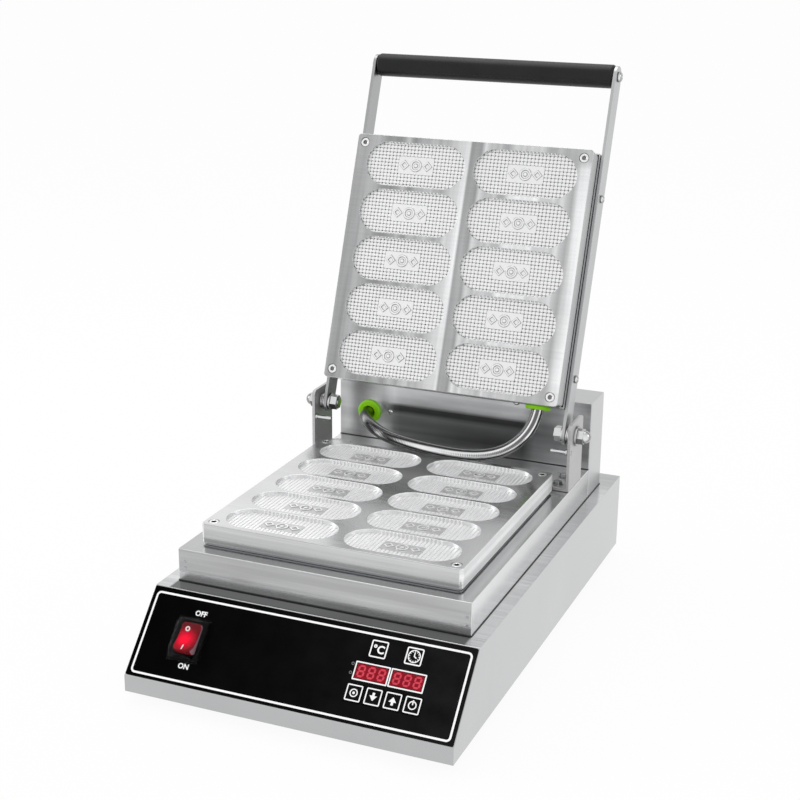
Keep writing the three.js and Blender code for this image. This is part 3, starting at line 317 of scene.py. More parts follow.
def edged(z0: float, z1: float, edge: float, steps: int = 3) -> list[Pair]:
    """Levels of a plate from z0 to z1 with two rounded rims: inset edge(1 - cos), height edge(1 - sin)."""
    rise = arc(0, 90, steps)
    low = [(edge * (1 - math.sin(a)), z0 + edge * (1 - math.cos(a))) for a in rise]
    high = [(edge * (1 - math.sin(a)), z1 - edge * (1 - math.cos(a))) for a in rise[::-1]]
    return low + high


def slab(width: float, depth: float, corner: float, z0: float, z1: float, edge: float = 0.3,
         x: float = 0.0, y: float = 0.0, steps: int = 6) -> Skin:
    """A plate with round corners and rounded rims, about a middle point, from z0 to z1."""
    def outline(inset: float) -> np.ndarray:
        """The plate's outline, pulled in by inset on every side."""
        return rounded(width - 2 * inset, depth - 2 * inset, corner - inset, steps, x, y)
    return stacked(outline, edged(z0, z1, edge))


def block(x0: float, x1: float, y0: float, y1: float, z0: float, z1: float, edge: float = 0.3) -> Skin:
    """A box between two corners, with its edges rounded, and its upright ones a little more."""
    upright = 1.2
    return slab(x1 - x0, y1 - y0, edge * upright, z0, z1, edge, (x0 + x1) / 2, (y0 + y1) / 2, 2)


def turned(profile: Profile, sides: int = 40, socket: float = 0.0) -> Skin:
    """A turned piece: each (radius, height) of the profile goes once round the Z axis.

    A socket is six-sided: its radius is scaled by cos(30) over cos(angle from the nearest flat's middle).

    Args:
        profile: radius and height, in order along the outside; a closed ring repeats its first pair.
        sides: how many flats the round has.
        socket: every ring of this radius or less is six-sided.

    Returns:
        The piece's skin, closed at a zero radius.
    """
    turns = np.arange(sides) * FULL_TURN / sides
    pairs = np.asarray(profile, float)
    flat = math.radians(30)
    six = math.cos(flat) / np.cos((turns + flat) % (2 * flat) - flat)
    reach = np.where(pairs[:, :1] <= socket, pairs[:, :1] * six[None], pairs[:, :1] * np.ones((1, sides)))
    rings = np.stack([
        reach * np.cos(turns), reach * np.sin(turns), pairs[:, 1:] * np.ones((1, sides)),
    ], -1)
    return Skin().grid(rings, around=True)


def ringed(outer: float, inner: float, height: float, x: float = 0.0, y: float = 0.0,
           sides: int = 28) -> Skin:
    """A flat ring from height zero up, with its middle at a place."""
    profile = [(outer, 0.0), (outer, height), (inner, height), (inner, 0.0), (outer, 0.0)]
    return Skin().add(turned(profile, sides), Placing((x, y, 0.0)))


def plate_of(points: Sequence[Pair] | np.ndarray, height: float) -> Skin:
    """A flat shape from height zero up, with the given outline."""
    flat = np.asarray(points, float)
    rings = [at_height(flat, z) for z in (0.0, height)]
    return Skin().grid(np.array(rings), around=True, ends=True)


def softened(profile: Profile, radius: float, steps: int = 3) -> list[Pair]:
    """A profile with its inner corners rounded.

    Each corner gives way to a curve of two weights: (1 - t)^2 start + 2 t (1 - t) corner + t^2 end, which
    starts and ends radius away from it, or at a third of the shorter side.

    Args:
        profile: pairs of radius and height.
        radius: how far each round reaches along both sides.
        steps: steps in each round.

    Returns:
        The new pairs.
    """
    pairs = [np.asarray(p, float) for p in profile]
    out = [tuple(pairs[0])]
    for before, here, after in zip(pairs, pairs[1:], pairs[2:], strict=False):
        back = before - here
        ahead = after - here
        reach = min(radius, np.linalg.norm(back) / 3, np.linalg.norm(ahead) / 3)
        start = here + back / np.linalg.norm(back) * reach
        end = here + ahead / np.linalg.norm(ahead) * reach
        for t in np.linspace(0, 1, steps + 1):
            out.append(tuple((1 - t) ** 2 * start + 2 * t * (1 - t) * here + t ** 2 * end))
    out.append(tuple(pairs[-1]))
    return out


@dataclass(frozen=True)
class Turning:
    """A turned piece: its profile of radii and heights, how far its corners are rounded, and its flats."""

    profile: Profile
    soft: float = 0.0
    sides: int = 24
    steps: int = 3
    socket: float = 0.0

    def skin(self) -> Skin:
        """The piece's skin about the Z axis."""
        profile = softened(self.profile, self.soft, self.steps) if self.soft else self.profile
        return turned(profile, self.sides, self.socket)


@dataclass(frozen=True)
class Hexagon:
    """A six-sided head or nut: its radius at the corners, its two heights and its rounded rims."""

    radius: float
    low: float
    high: float
    edge: float

    def skin(self) -> Skin:
        """The piece's skin about the Z axis."""
        return stacked(lambda inset: circle(self.radius - inset, 6), edged(self.low, self.high, self.edge))


def along_x(x: float, y: float, z: float, side: int = 1) -> Placing:
    """A placing whose heights run along X, outwards on the given side."""
    return Placing((x, y, z), (0.0, float(side), 0.0), (0.0, 0.0, 1.0), (float(side), 0.0, 0.0))


def along_y(x: float, y: float, z: float, side: int = 1) -> Placing:
    """A placing whose heights run along Y, to the back for side 1 and to the front for side -1."""
    return Placing((x, y, z), (float(-side), 0.0, 0.0), (0.0, 0.0, 1.0), (0.0, float(side), 0.0))


def upward(x: float, y: float, z: float) -> Placing:
    """A placing whose heights run up from a place."""
    return Placing((x, y, z))


def flipped(x: float, y: float, z: float) -> Placing:
    """A placing whose heights run down from a place."""
    return Placing((x, y, z), (1.0, 0.0, 0.0), (0.0, -1.0, 0.0), (0.0, 0.0, -1.0))


def added(tree: bpy.types.NodeTree, kind: str, inputs: dict[str | int, Entry] | None = None,
          **settings: str | bpy.types.NodeTree) -> bpy.types.Node:
    """Adds a shader node.

    Args:
        tree: the node tree that it goes into.
        kind: the node's type, less the words before it.
        inputs: each input's value, colour or other node's output, by its name or number.
        settings: the node's own settings.

    Returns:
        The node.
    """
    node = tree.nodes.new(f"ShaderNode{kind}")
    for label, setting in settings.items():
        setattr(node, label, setting)
    for label, value in (inputs or {}).items():
        entry = node.inputs[label]
        if isinstance(value, Socket):
            tree.links.new(value, entry)
        else:
            entry.default_value = (*value, 1.0) if entry.type == "RGBA" else value
    return node


class Groups:
    """Shader node groups that several finishes share, each made once."""

    def __init__(self) -> None:
        """Makes the groups."""
        self.grain = self._grain()
        self.marks = self._marks()
        self.speckle = self._speckle()
        self.core = self._core()

    @staticmethod
    def _group(name: str, inputs: dict[str, float], outputs: Iterable[str]) -> tuple:
        """An empty group with float inputs at their usual values, and float outputs.

        Args:
            name: the group's name.
            inputs: the inputs' names and values.
            outputs: the outputs' names.

        Returns:
            The tree, the sockets that its inputs and outputs are, and the socket of the place on the piece.
        """
        tree = bpy.data.node_groups.new(name, "ShaderNodeTree")
        for label, value in inputs.items():
            socket = tree.interface.new_socket(name=label, in_out="INPUT", socket_type="NodeSocketFloat")
            socket.default_value = value
        for label in outputs:
            tree.interface.new_socket(name=label, in_out="OUTPUT", socket_type="NodeSocketFloat")
        given = tree.nodes.new("NodeGroupInput").outputs
        out = tree.nodes.new("NodeGroupOutput").inputs
        return tree, given, out, added(tree, "TexCoord").outputs["Object"]

    def _grain(self) -> bpy.types.NodeTree:
        """Long fine streaks: noise whose place is stretched along one axis by the three scales."""
        tree, given, out, place = self._group(
            "streaked_grain", {"Scale X": 40.0, "Scale Y": 1500.0, "Scale Z": 1500.0, "Detail": 3.0},
            ["Streaks"],
        )
        parts = added(tree, "SeparateXYZ", {0: place}).outputs
        scaled = {}
        for axis in "XYZ":
            product = added(tree, "Math", {0: parts[axis], 1: given[f"Scale {axis}"]}, operation="MULTIPLY")
            scaled[axis] = product.outputs[0]
        noise = added(tree, "TexNoise", {
            "Scale": 1.0, "Roughness": 0.6, "Vector": added(tree, "CombineXYZ", scaled).outputs[0],
            "Detail": given["Detail"],
        })
        tree.links.new(noise.outputs["Fac"], out["Streaks"])
        return tree

    def _marks(self) -> bpy.types.NodeTree:
        """Soft cloudy patches, as fingers and cloths leave on sheet metal, and finer flecks within them."""
        tree, given, out, place = self._group(
            "handling_marks", {"Size": 12.0, "Fleck": 160.0}, ["Clouds", "Flecks"],
        )
        for label, source in (("Clouds", "Size"), ("Flecks", "Fleck")):
            noise = added(tree, "TexNoise", {"Detail": 4.0, "Vector": place, "Scale": given[source]})
            tree.links.new(noise.outputs["Fac"], out[label])
        return tree

    def _speckle(self) -> bpy.types.NodeTree:
        """A fine even pebbling, as moulded plastic and rubber have: the distance to scattered cells."""
        tree, given, out, place = self._group("moulded_texture", {"Scale": 1800.0}, ["Pebbles"])
        cells = added(tree, "TexVoronoi", {"Vector": place, "Scale": given["Scale"]})
        tree.links.new(cells.outputs["Distance"], out["Pebbles"])
        return tree

    def _core(self) -> bpy.types.NodeTree:
        """How near a point is to a lamp's place: one there, and zero at the reach and past it."""
        tree, given, out, place = self._group(
            "lamp_inside", {"X": 0.0, "Y": 0.0, "Z": 0.0, "Reach": 0.012}, ["Nearness"],
        )
        lamp = added(tree, "CombineXYZ", {axis: given[axis] for axis in "XYZ"})
        away = added(tree, "VectorMath", {0: place, 1: lamp.outputs[0]}, operation="DISTANCE")
        near = added(tree, "MapRange", {
            "Value": away.outputs["Value"], "From Max": given["Reach"], "To Min": 1.0, "To Max": 0.0,
        }, interpolation_type="SMOOTHSTEP")
        tree.links.new(near.outputs["Result"], out["Nearness"])
        return tree


GROUPS = Groups()


def stopped(ramp: bpy.types.Node, stops: Profile) -> None:
    """Gives a ramp its (value, grey) stops."""
    elements = ramp.color_ramp.elements
    while len(elements) < len(stops):
        elements.new(1.0)
    for element, (position, tone) in zip(elements, stops, strict=True):
        element.position = position
        element.color = (tone, tone, tone, 1.0)


class Wiring:
    """A material's node tree, with short ways to add the nodes that the finishes need."""

    def __init__(self, name: str) -> None:
        """Makes a material with one Principled shader."""
        # How near to square a surface must be to a direction, as the size of their dot product
        self.square = (0.93, 0.99)
        # Between which values of a noise the gloss changes
        self.noise = (0.3, 0.7)
        self.material = bpy.data.materials.new(name)
        self.material.use_nodes = True
        self.tree = self.material.node_tree
        self.shader = self.tree.nodes["Principled BSDF"]

    def add(self, kind: str, output: str | int = 0, inputs: dict[str | int, Entry] | None = None,
            **settings: str) -> Socket:
        """Adds a node and gives one of its outputs."""
        return added(self.tree, kind, inputs, **settings).outputs[output]

    def group(self, tree: bpy.types.NodeTree, **values: float) -> bpy.types.Node:
        """Places a shared group with its own values; an underscore stands for a space."""
        inputs = {label.replace("_", " "): value for label, value in values.items()}
        return added(self.tree, "Group", inputs, node_tree=tree)

    def set(self, **values: float | Sequence[float]) -> None:
        """Sets plain values on the shader's own sockets; an underscore stands for a space."""
        for label, value in values.items():
            self.shader.inputs[label.replace("_", " ")].default_value = value

    def tones(self, source: Socket, stops: Profile) -> Socket:
        """Maps a value to a grey by (value, grey) stops."""
        ramp = added(self.tree, "ValToRGB", {"Fac": source})
        stopped(ramp, stops)
        return ramp.outputs["Color"]

    def ramp(self, source: Socket, low: float, high: float, start: float, end: float) -> Socket:
        """Maps a value from low..high to start..end, kept within them."""
        return self.add("MapRange", "Result", {
            "Value": source, "From Min": low, "From Max": high, "To Min": start, "To Max": end,
        })

    def mix(self, factor: Entry, first: Entry, second: Entry, blend: str = "MIX") -> Socket:
        """A colour between two colours, or their product where blend is MULTIPLY and the factor is one."""
        inputs = {"Factor": factor, "A": first, "B": second}
        return self.add("Mix", "Result", inputs, data_type="RGBA", blend_type=blend)

    def times(self, first: Socket, second: Socket) -> Socket:
        """The product of two colours."""
        return self.mix(1.0, first, second, "MULTIPLY")

    def facing(self, stops: Profile) -> Socket:
        """A grey by how far the surface turns away: 0 faces the viewer and 1 is edge on."""
        return self.tones(self.add("LayerWeight", "Facing"), stops)

    def reach(self, source: str, way: Point) -> Socket:
        """How far a place, or the surface's direction, goes along a direction: their dot product."""
        inputs = {0: self.add("TexCoord", source), 1: way}
        return self.add("VectorMath", "Value", inputs, operation="DOT_PRODUCT")

    def along(self, placing: Placing, axis: int, stops: Profile) -> Socket:
        """A grey by the place along one axis of a placing, by (millimetres there, grey) stops."""
        way = placing.axes[axis]
        first, last = stops[0][0], stops[-1][0]
        low, high = (float(in_row(placing.place(np.eye(3)[axis] * at)) @ way) for at in (first, last))
        source = self.ramp(self.reach("Object", tuple(way)), low, high, 0.0, 1.0)
        return self.tones(source, [((at - first) / (last - first), tone) for at, tone in stops])

    def level_with(self, way: Point) -> Socket:
        """One where the surface is square to a direction, and zero where it turns from it."""
        size = self.add("Math", 0, {0: self.reach("Normal", way)}, operation="ABSOLUTE")
        return self.ramp(size, *self.square, 0.0, 1.0)

    def sum(self, first: Socket, second: Socket, share: float) -> Socket:
        """first plus share times second."""
        return self.add("Math", 0, {0: second, 1: share, 2: first}, operation="MULTIPLY_ADD")

    def bump(self, height: Socket, strength: float, distance: float) -> None:
        """Drives the shader's normal with a height, in metres of distance."""
        inputs = {"Strength": strength, "Distance": distance, "Height": height}
        self.feed(self.add("Bump", "Normal", inputs), "Normal")

    def gloss(self, source: Socket, low: float, high: float) -> None:
        """Lets the roughness wander from low to high with a noise."""
        self.feed(self.ramp(source, *self.noise, low, high), "Roughness")

    def feed(self, source: Socket, label: str) -> None:
        """Joins a value or colour to one of the shader's sockets."""
        self.tree.links.new(source, self.shader.inputs[label])


@dataclass(frozen=True)
class Shade:
    """Painted light and shade: a grey that changes along one axis of a placing and multiplies a finish's
    colour.

    Its stops are pairs of a place in millimetres and a grey. It can be kept to the surfaces that are square
    to another axis of its placing, and to where other shades are white.
    """

    stops: Profile
    axis: int = 0
    faces: int | None = None
    placing: Placing = MACHINE
    where: "Shade | None" = None
    within: "Shade | None" = None

    def tone(self, wiring: Wiring) -> Socket:
        """The shade's grey in a material."""
        grey = wiring.along(self.placing, self.axis, self.stops)
        for limit in filter(None, (self.where, self.within)):
            grey = wiring.mix(limit.tone(wiring), WHITE, grey)
        if self.faces is not None:
            grey = wiring.mix(wiring.level_with(tuple(self.placing.axes[self.faces])), WHITE, grey)
        return grey


@dataclass(frozen=True)
class MetalFinish:
    """Bare metal with streaks from rolling or milling, cloudy handling marks and uneven gloss, and painted
    light and shade.
    """

    name: str
    colour: Colour
    shade: Colour
    roughness: float
    spread: float = 0.08
    scales: Point = (14.0, 900.0, 900.0)
    bump: float = 0.05
    cloud: float = 12.0
    # Painted light: band tones away from one also lighten or darken the surfaces that they cover
    # Broad passes of the tool: their scales, tones and the direction that their surface faces
    bands: Point | None = None
    band_tones: Profile = ((0.4, 0.8), (0.54, 1.0), (0.68, 1.3))
    band_way: Point | None = None
    # Painted light, shade and reflections: greys along the machine, and greys by how far the surface turns
    # away
    shades: tuple[Shade, ...] = ()
    turned_away: Profile = ()
    # Where this shade is black, the metal is satin
    satin: Shade | None = None
    satin_roughness: float = 0.6
    # How the streaks and the clouds mix, and between which sums the colour and the gloss change
    fineness: Point = (4.0, 2.0, 220.0)
    shares: Point = (0.8, 0.7, 0.25)
    colour_range: Pair = (0.5, 1.3)
    gloss_range: Pair = (0.5, 1.2)
    least_roughness: float = 0.02
    bump_height: float = 0.0001

    def make(self) -> Material:
        """Builds the material."""
        wiring = Wiring(self.name)
        grain_detail, band_detail, fleck = self.fineness
        streak_share, cloud_share, fleck_share = self.shares

        def streaks_of(scales: Point, detail: float) -> Socket:
            """Streaks with the given scales."""
            x, y, z = scales
            return wiring.group(
                GROUPS.grain, Scale_X=x, Scale_Y=y, Scale_Z=z, Detail=detail,
            ).outputs["Streaks"]
        streaks = streaks_of(self.scales, grain_detail)
        marks = wiring.group(GROUPS.marks, Size=self.cloud, Fleck=fleck)
        clouds = marks.outputs["Clouds"]
        wiring.set(Metallic=1.0)
        tone = wiring.sum(clouds, streaks, streak_share)
        painted = wiring.mix(wiring.ramp(tone, *self.colour_range, 0.0, 1.0), self.shade, self.colour)
        if self.bands:
            level = wiring.level_with(self.band_way) if self.band_way else 1.0
            toned = wiring.tones(streaks_of(self.bands, band_detail), self.band_tones)
            painted = wiring.times(painted, wiring.mix(level, WHITE, toned))
        for shade in self.shades:
            painted = wiring.times(painted, shade.tone(wiring))
        if self.turned_away:
            painted = wiring.times(painted, wiring.facing(self.turned_away))
        wiring.feed(painted, "Base Color")
        gloss = wiring.sum(streaks, clouds, cloud_share)
        low = max(self.roughness - self.spread, self.least_roughness)
        rough = wiring.ramp(gloss, *self.gloss_range, low, self.roughness + self.spread)
        if self.satin:
            rough = wiring.mix(self.satin.tone(wiring), (self.satin_roughness,) * 3, rough)
        wiring.feed(rough, "Roughness")
        wiring.bump(wiring.sum(streaks, marks.outputs["Flecks"], fleck_share), self.bump, self.bump_height)
        return wiring.material


@dataclass(frozen=True)
class MouldedFinish:
    """Moulded plastic, rubber or board: a colour that varies a little, with a fine pebbled surface, some
    painted shade and glow.
    """

    name: str
    colour: Colour
    shade: Colour
    roughness: float
    pebble: float = 1800.0
    bump: float = 0.08
    coat: float = 0.0
    # Painted glow: how strongly the colour shines of its own, though the piece holds no lamp
    glow: float = 0.0
    sheen: float = 0.0
    specular: float = 0.5
    # Painted light and shade, each a grey that multiplies the colour
    shades: tuple[Shade, ...] = ()
    clouds: float = 45.0
    flecks: float = 700.0
    pebble_share: float = 0.3
    colour_range: Pair = (0.35, 0.85)
    coat_roughness: float = 0.06
    spread: float = 0.06
    least_roughness: float = 0.03
    bump_height: float = 0.0002

    def make(self) -> Material:
        """Builds the material."""
        wiring = Wiring(self.name)
        marks = wiring.group(GROUPS.marks, Size=self.clouds, Fleck=self.flecks)
        pebbles = wiring.group(GROUPS.speckle, Scale=self.pebble).outputs["Pebbles"]
        wiring.set(
            Metallic=0.0, Coat_Weight=self.coat, Coat_Roughness=self.coat_roughness, Sheen_Weight=self.sheen,
            Specular_IOR_Level=self.specular,
        )
        tone = wiring.sum(marks.outputs["Clouds"], pebbles, self.pebble_share)
        painted = wiring.mix(wiring.ramp(tone, *self.colour_range, 0.0, 1.0), self.shade, self.colour)
        for shade in self.shades:
            painted = wiring.times(painted, shade.tone(wiring))
        wiring.feed(painted, "Base Color")
        # Painted glow: the colour shines of its own
        if self.glow:
            wiring.feed(painted, "Emission Color")
            wiring.set(Emission_Strength=self.glow)
        low = max(self.roughness - self.spread, self.least_roughness)
        wiring.gloss(marks.outputs["Flecks"], low, self.roughness + self.spread)
        wiring.bump(pebbles, self.bump, self.bump_height)
        return wiring.material


@dataclass(frozen=True)
class LitFinish:
    """Translucent red plastic over a lamp: bright over the lamp and dark towards its ends, with a painted
    reflection at its right edge.
    """

    name: str
    colour: Colour
    shade: Colour
    lamp: Point
    reach: float
    # Painted reflection of the pale room on the right edge: its colour, the surfaces it covers and how much
    rim: Colour = (0.2, 0.12, 0.14)
    painted_reflection_way: Point = (1.0, 0.0, 0.0)
    painted_reflection_range: Pair = (0.25, 0.55)
    painted_reflection_share: float = 0.9
    roughness: float = 0.22
    spread: float = 0.05
    glow: float = 0.5
    specular: float = 0.15
    clouds: float = 90.0
    flecks: float = 900.0
    fleck_share: float = 0.08
    bump: float = 0.03
    bump_height: float = 0.0001

    def make(self) -> Material:
        """Builds the material."""
        wiring = Wiring(self.name)
        x, y, z = in_row(self.lamp)
        near = wiring.group(GROUPS.core, X=x, Y=y, Z=z, Reach=self.reach * MM).outputs["Nearness"]
        flecks = wiring.group(GROUPS.marks, Size=self.clouds, Fleck=self.flecks).outputs["Flecks"]
        lit = wiring.mix(wiring.sum(near, flecks, self.fleck_share), self.shade, self.colour)
        # Painted reflection: surfaces that face right turn towards the pale rim colour
        rim = wiring.ramp(wiring.reach("Normal", self.painted_reflection_way), *self.painted_reflection_range, 0.0, self.painted_reflection_share)
        lit = wiring.mix(rim, lit, self.rim)
        wiring.feed(lit, "Base Color")
        wiring.feed(lit, "Emission Color")
        wiring.set(Emission_Strength=self.glow, Specular_IOR_Level=self.specular)
        wiring.gloss(flecks, self.roughness - self.spread, self.roughness + self.spread)
        wiring.bump(flecks, self.bump, self.bump_height)
        return wiring.material


@dataclass(frozen=True)
class ClearFinish:
    """A thin clear cover: nearly see-through face on, and denser where it turns away, with a painted highlight
    there.
    """

    name: str
    colour: Colour = (0.01, 0.01, 0.011)
    roughness: float = 0.12
    face_on: float = 0.02
    edge_on: float = 0.34
    # Painted highlight: from this facing on, the cover's colour turns to a pale grey
    painted_highlight_start: float = 0.7
    painted_highlight_colour: Colour = (0.3, 0.3, 0.3)
    blend: float = 0.45
    clouds: float = 60.0
    flecks: float = 500.0
    bump: float = 0.04
    bump_height: float = 0.0003

    def make(self) -> Material:
        """Builds the material."""
        wiring = Wiring(self.name)
        flecks = wiring.group(GROUPS.marks, Size=self.clouds, Fleck=self.flecks).outputs["Flecks"]
        turned_away = wiring.add("LayerWeight", "Facing", {"Blend": self.blend})
        wiring.feed(wiring.ramp(turned_away, 0.0, 1.0, self.face_on, self.edge_on), "Alpha")
        # Painted highlight at the cover's edges, where it turns away
        edge = wiring.ramp(turned_away, self.painted_highlight_start, 1.0, 0.0, 1.0)
        wiring.feed(wiring.mix(edge, self.colour, self.painted_highlight_colour), "Base Color")
        wiring.gloss(flecks, self.roughness, self.roughness * 2)
        wiring.bump(flecks, self.bump, self.bump_height)
        return wiring.material


@dataclass(frozen=True)
class PlateFinishes:
    """How one baking plate looks: its milled face, the grids of its cavities, their panels and its screws."""

    label: str
    colour: Colour
    # Tones and scales of the cutter's passes, and the direction that their surface faces, or none for all
    milled: Profile
    bands: Point
    way: Point | None
    # Where the plate is drawn, the height of its face there, and 1 if the face looks up it or -1 if down
    placing: Placing
    level: float
    up: int
    # Painted light and shade: greys of the panels, of their motifs' flanks and of the motifs' tops, at the
    # foot of the grids, and on the face
    panel_painted_light: Point
    pit: float
    shades: tuple[Shade, ...]
    bright: tuple[Colour, Colour] = ((0.97, 0.97, 0.975), (0.9, 0.9, 0.905))
    shaded: float = 0.82
    even: Point = (300.0, 300.0, 300.0)
    streaks: Point = (10.0, 420.0, 420.0)
    # Heights over the plate's face where the painted shade changes, darker in the hollows
    floor_painted_shade: Profile = ((-4.4, 0.3), (-3.6, 1.0))
    grid_heights: tuple[float, ...] = (-4.5, -3.8, -3.1)
    panel_heights: tuple[float, ...] = (-4.5, -2.95, -2.85, -2.3, -2.15)
    screw_painted_shade: Profile = ((-2.0, 0.2), (-1.0, 0.3), (-0.4, 0.45), (-0.1, 0.95))

    def deep(self, stops: Iterable[Pair], faces: int | None = None) -> Shade:
        """A painted shade by the height over the plate's face."""
        levels = [(self.level + self.up * height, tone) for height, tone in stops]
        return Shade(levels, 2, faces, self.placing)

    def metal(self, part: str, roughness: float, spread: float, bump: float,
              tones: Iterable[Pair]) -> Material:
        """The bright metal of one small part of the plate.

        Args:
            part: what the material is for.
            roughness: of its surface.
            spread: how far the roughness wanders.
            bump: strength of its fine streaks.
            tones: painted shade, as greys by the height over the plate's face.

        Returns:
            The material.
        """
        return MetalFinish(
            f"{self.label}_{part}", *self.bright, roughness, spread, self.even, bump,
            shades=(self.deep(tones),),
        ).make()

    @cached_property
    def face(self) -> Material:
        """The milled face, whose level surfaces are satin, with painted shade on the cavities' floors and
        painted reflections.
        """
        return MetalFinish(
            f"milled_{self.label}_plate", self.colour, tuple(c * self.shaded for c in self.colour),
            0.21, 0.05, self.streaks, 0.03, 14.0, self.bands, self.milled, self.way,
            (self.deep(self.floor_painted_shade, 2), *self.shades),
            satin=Shade(((0.0, 0.0), (1.0, 0.0)), 0, 0, self.placing),
        ).make()

    @cached_property
    def grid(self) -> Material:
        """The cavities' grids, with painted shade in their pits."""
        between = (2 * self.pit + 1) / 3 + 0.1
        tones = zip(self.grid_heights, (self.pit, between, 1.0), strict=True)
        return self.metal("cavity_grid", 0.42, 0.05, 0.0, tones)

    @cached_property
    def screw(self) -> Material:
        """The plate's screws, with painted shade in their sockets."""
        return self.metal("plate_screw", 0.2, 0.04, 0.02, self.screw_painted_shade)

    @cached_property
    def panel(self) -> Material:
        """The smooth panels with their motifs, painted darker on the motifs' flanks and lighter on their tops.
        """
        flat, flank, top = self.panel_painted_light
        return self.metal(
            "cavity_panel", 0.36, 0.05, 0.0,
            zip(self.panel_heights, (flat, flat, flank, flank, top), strict=True),
        )


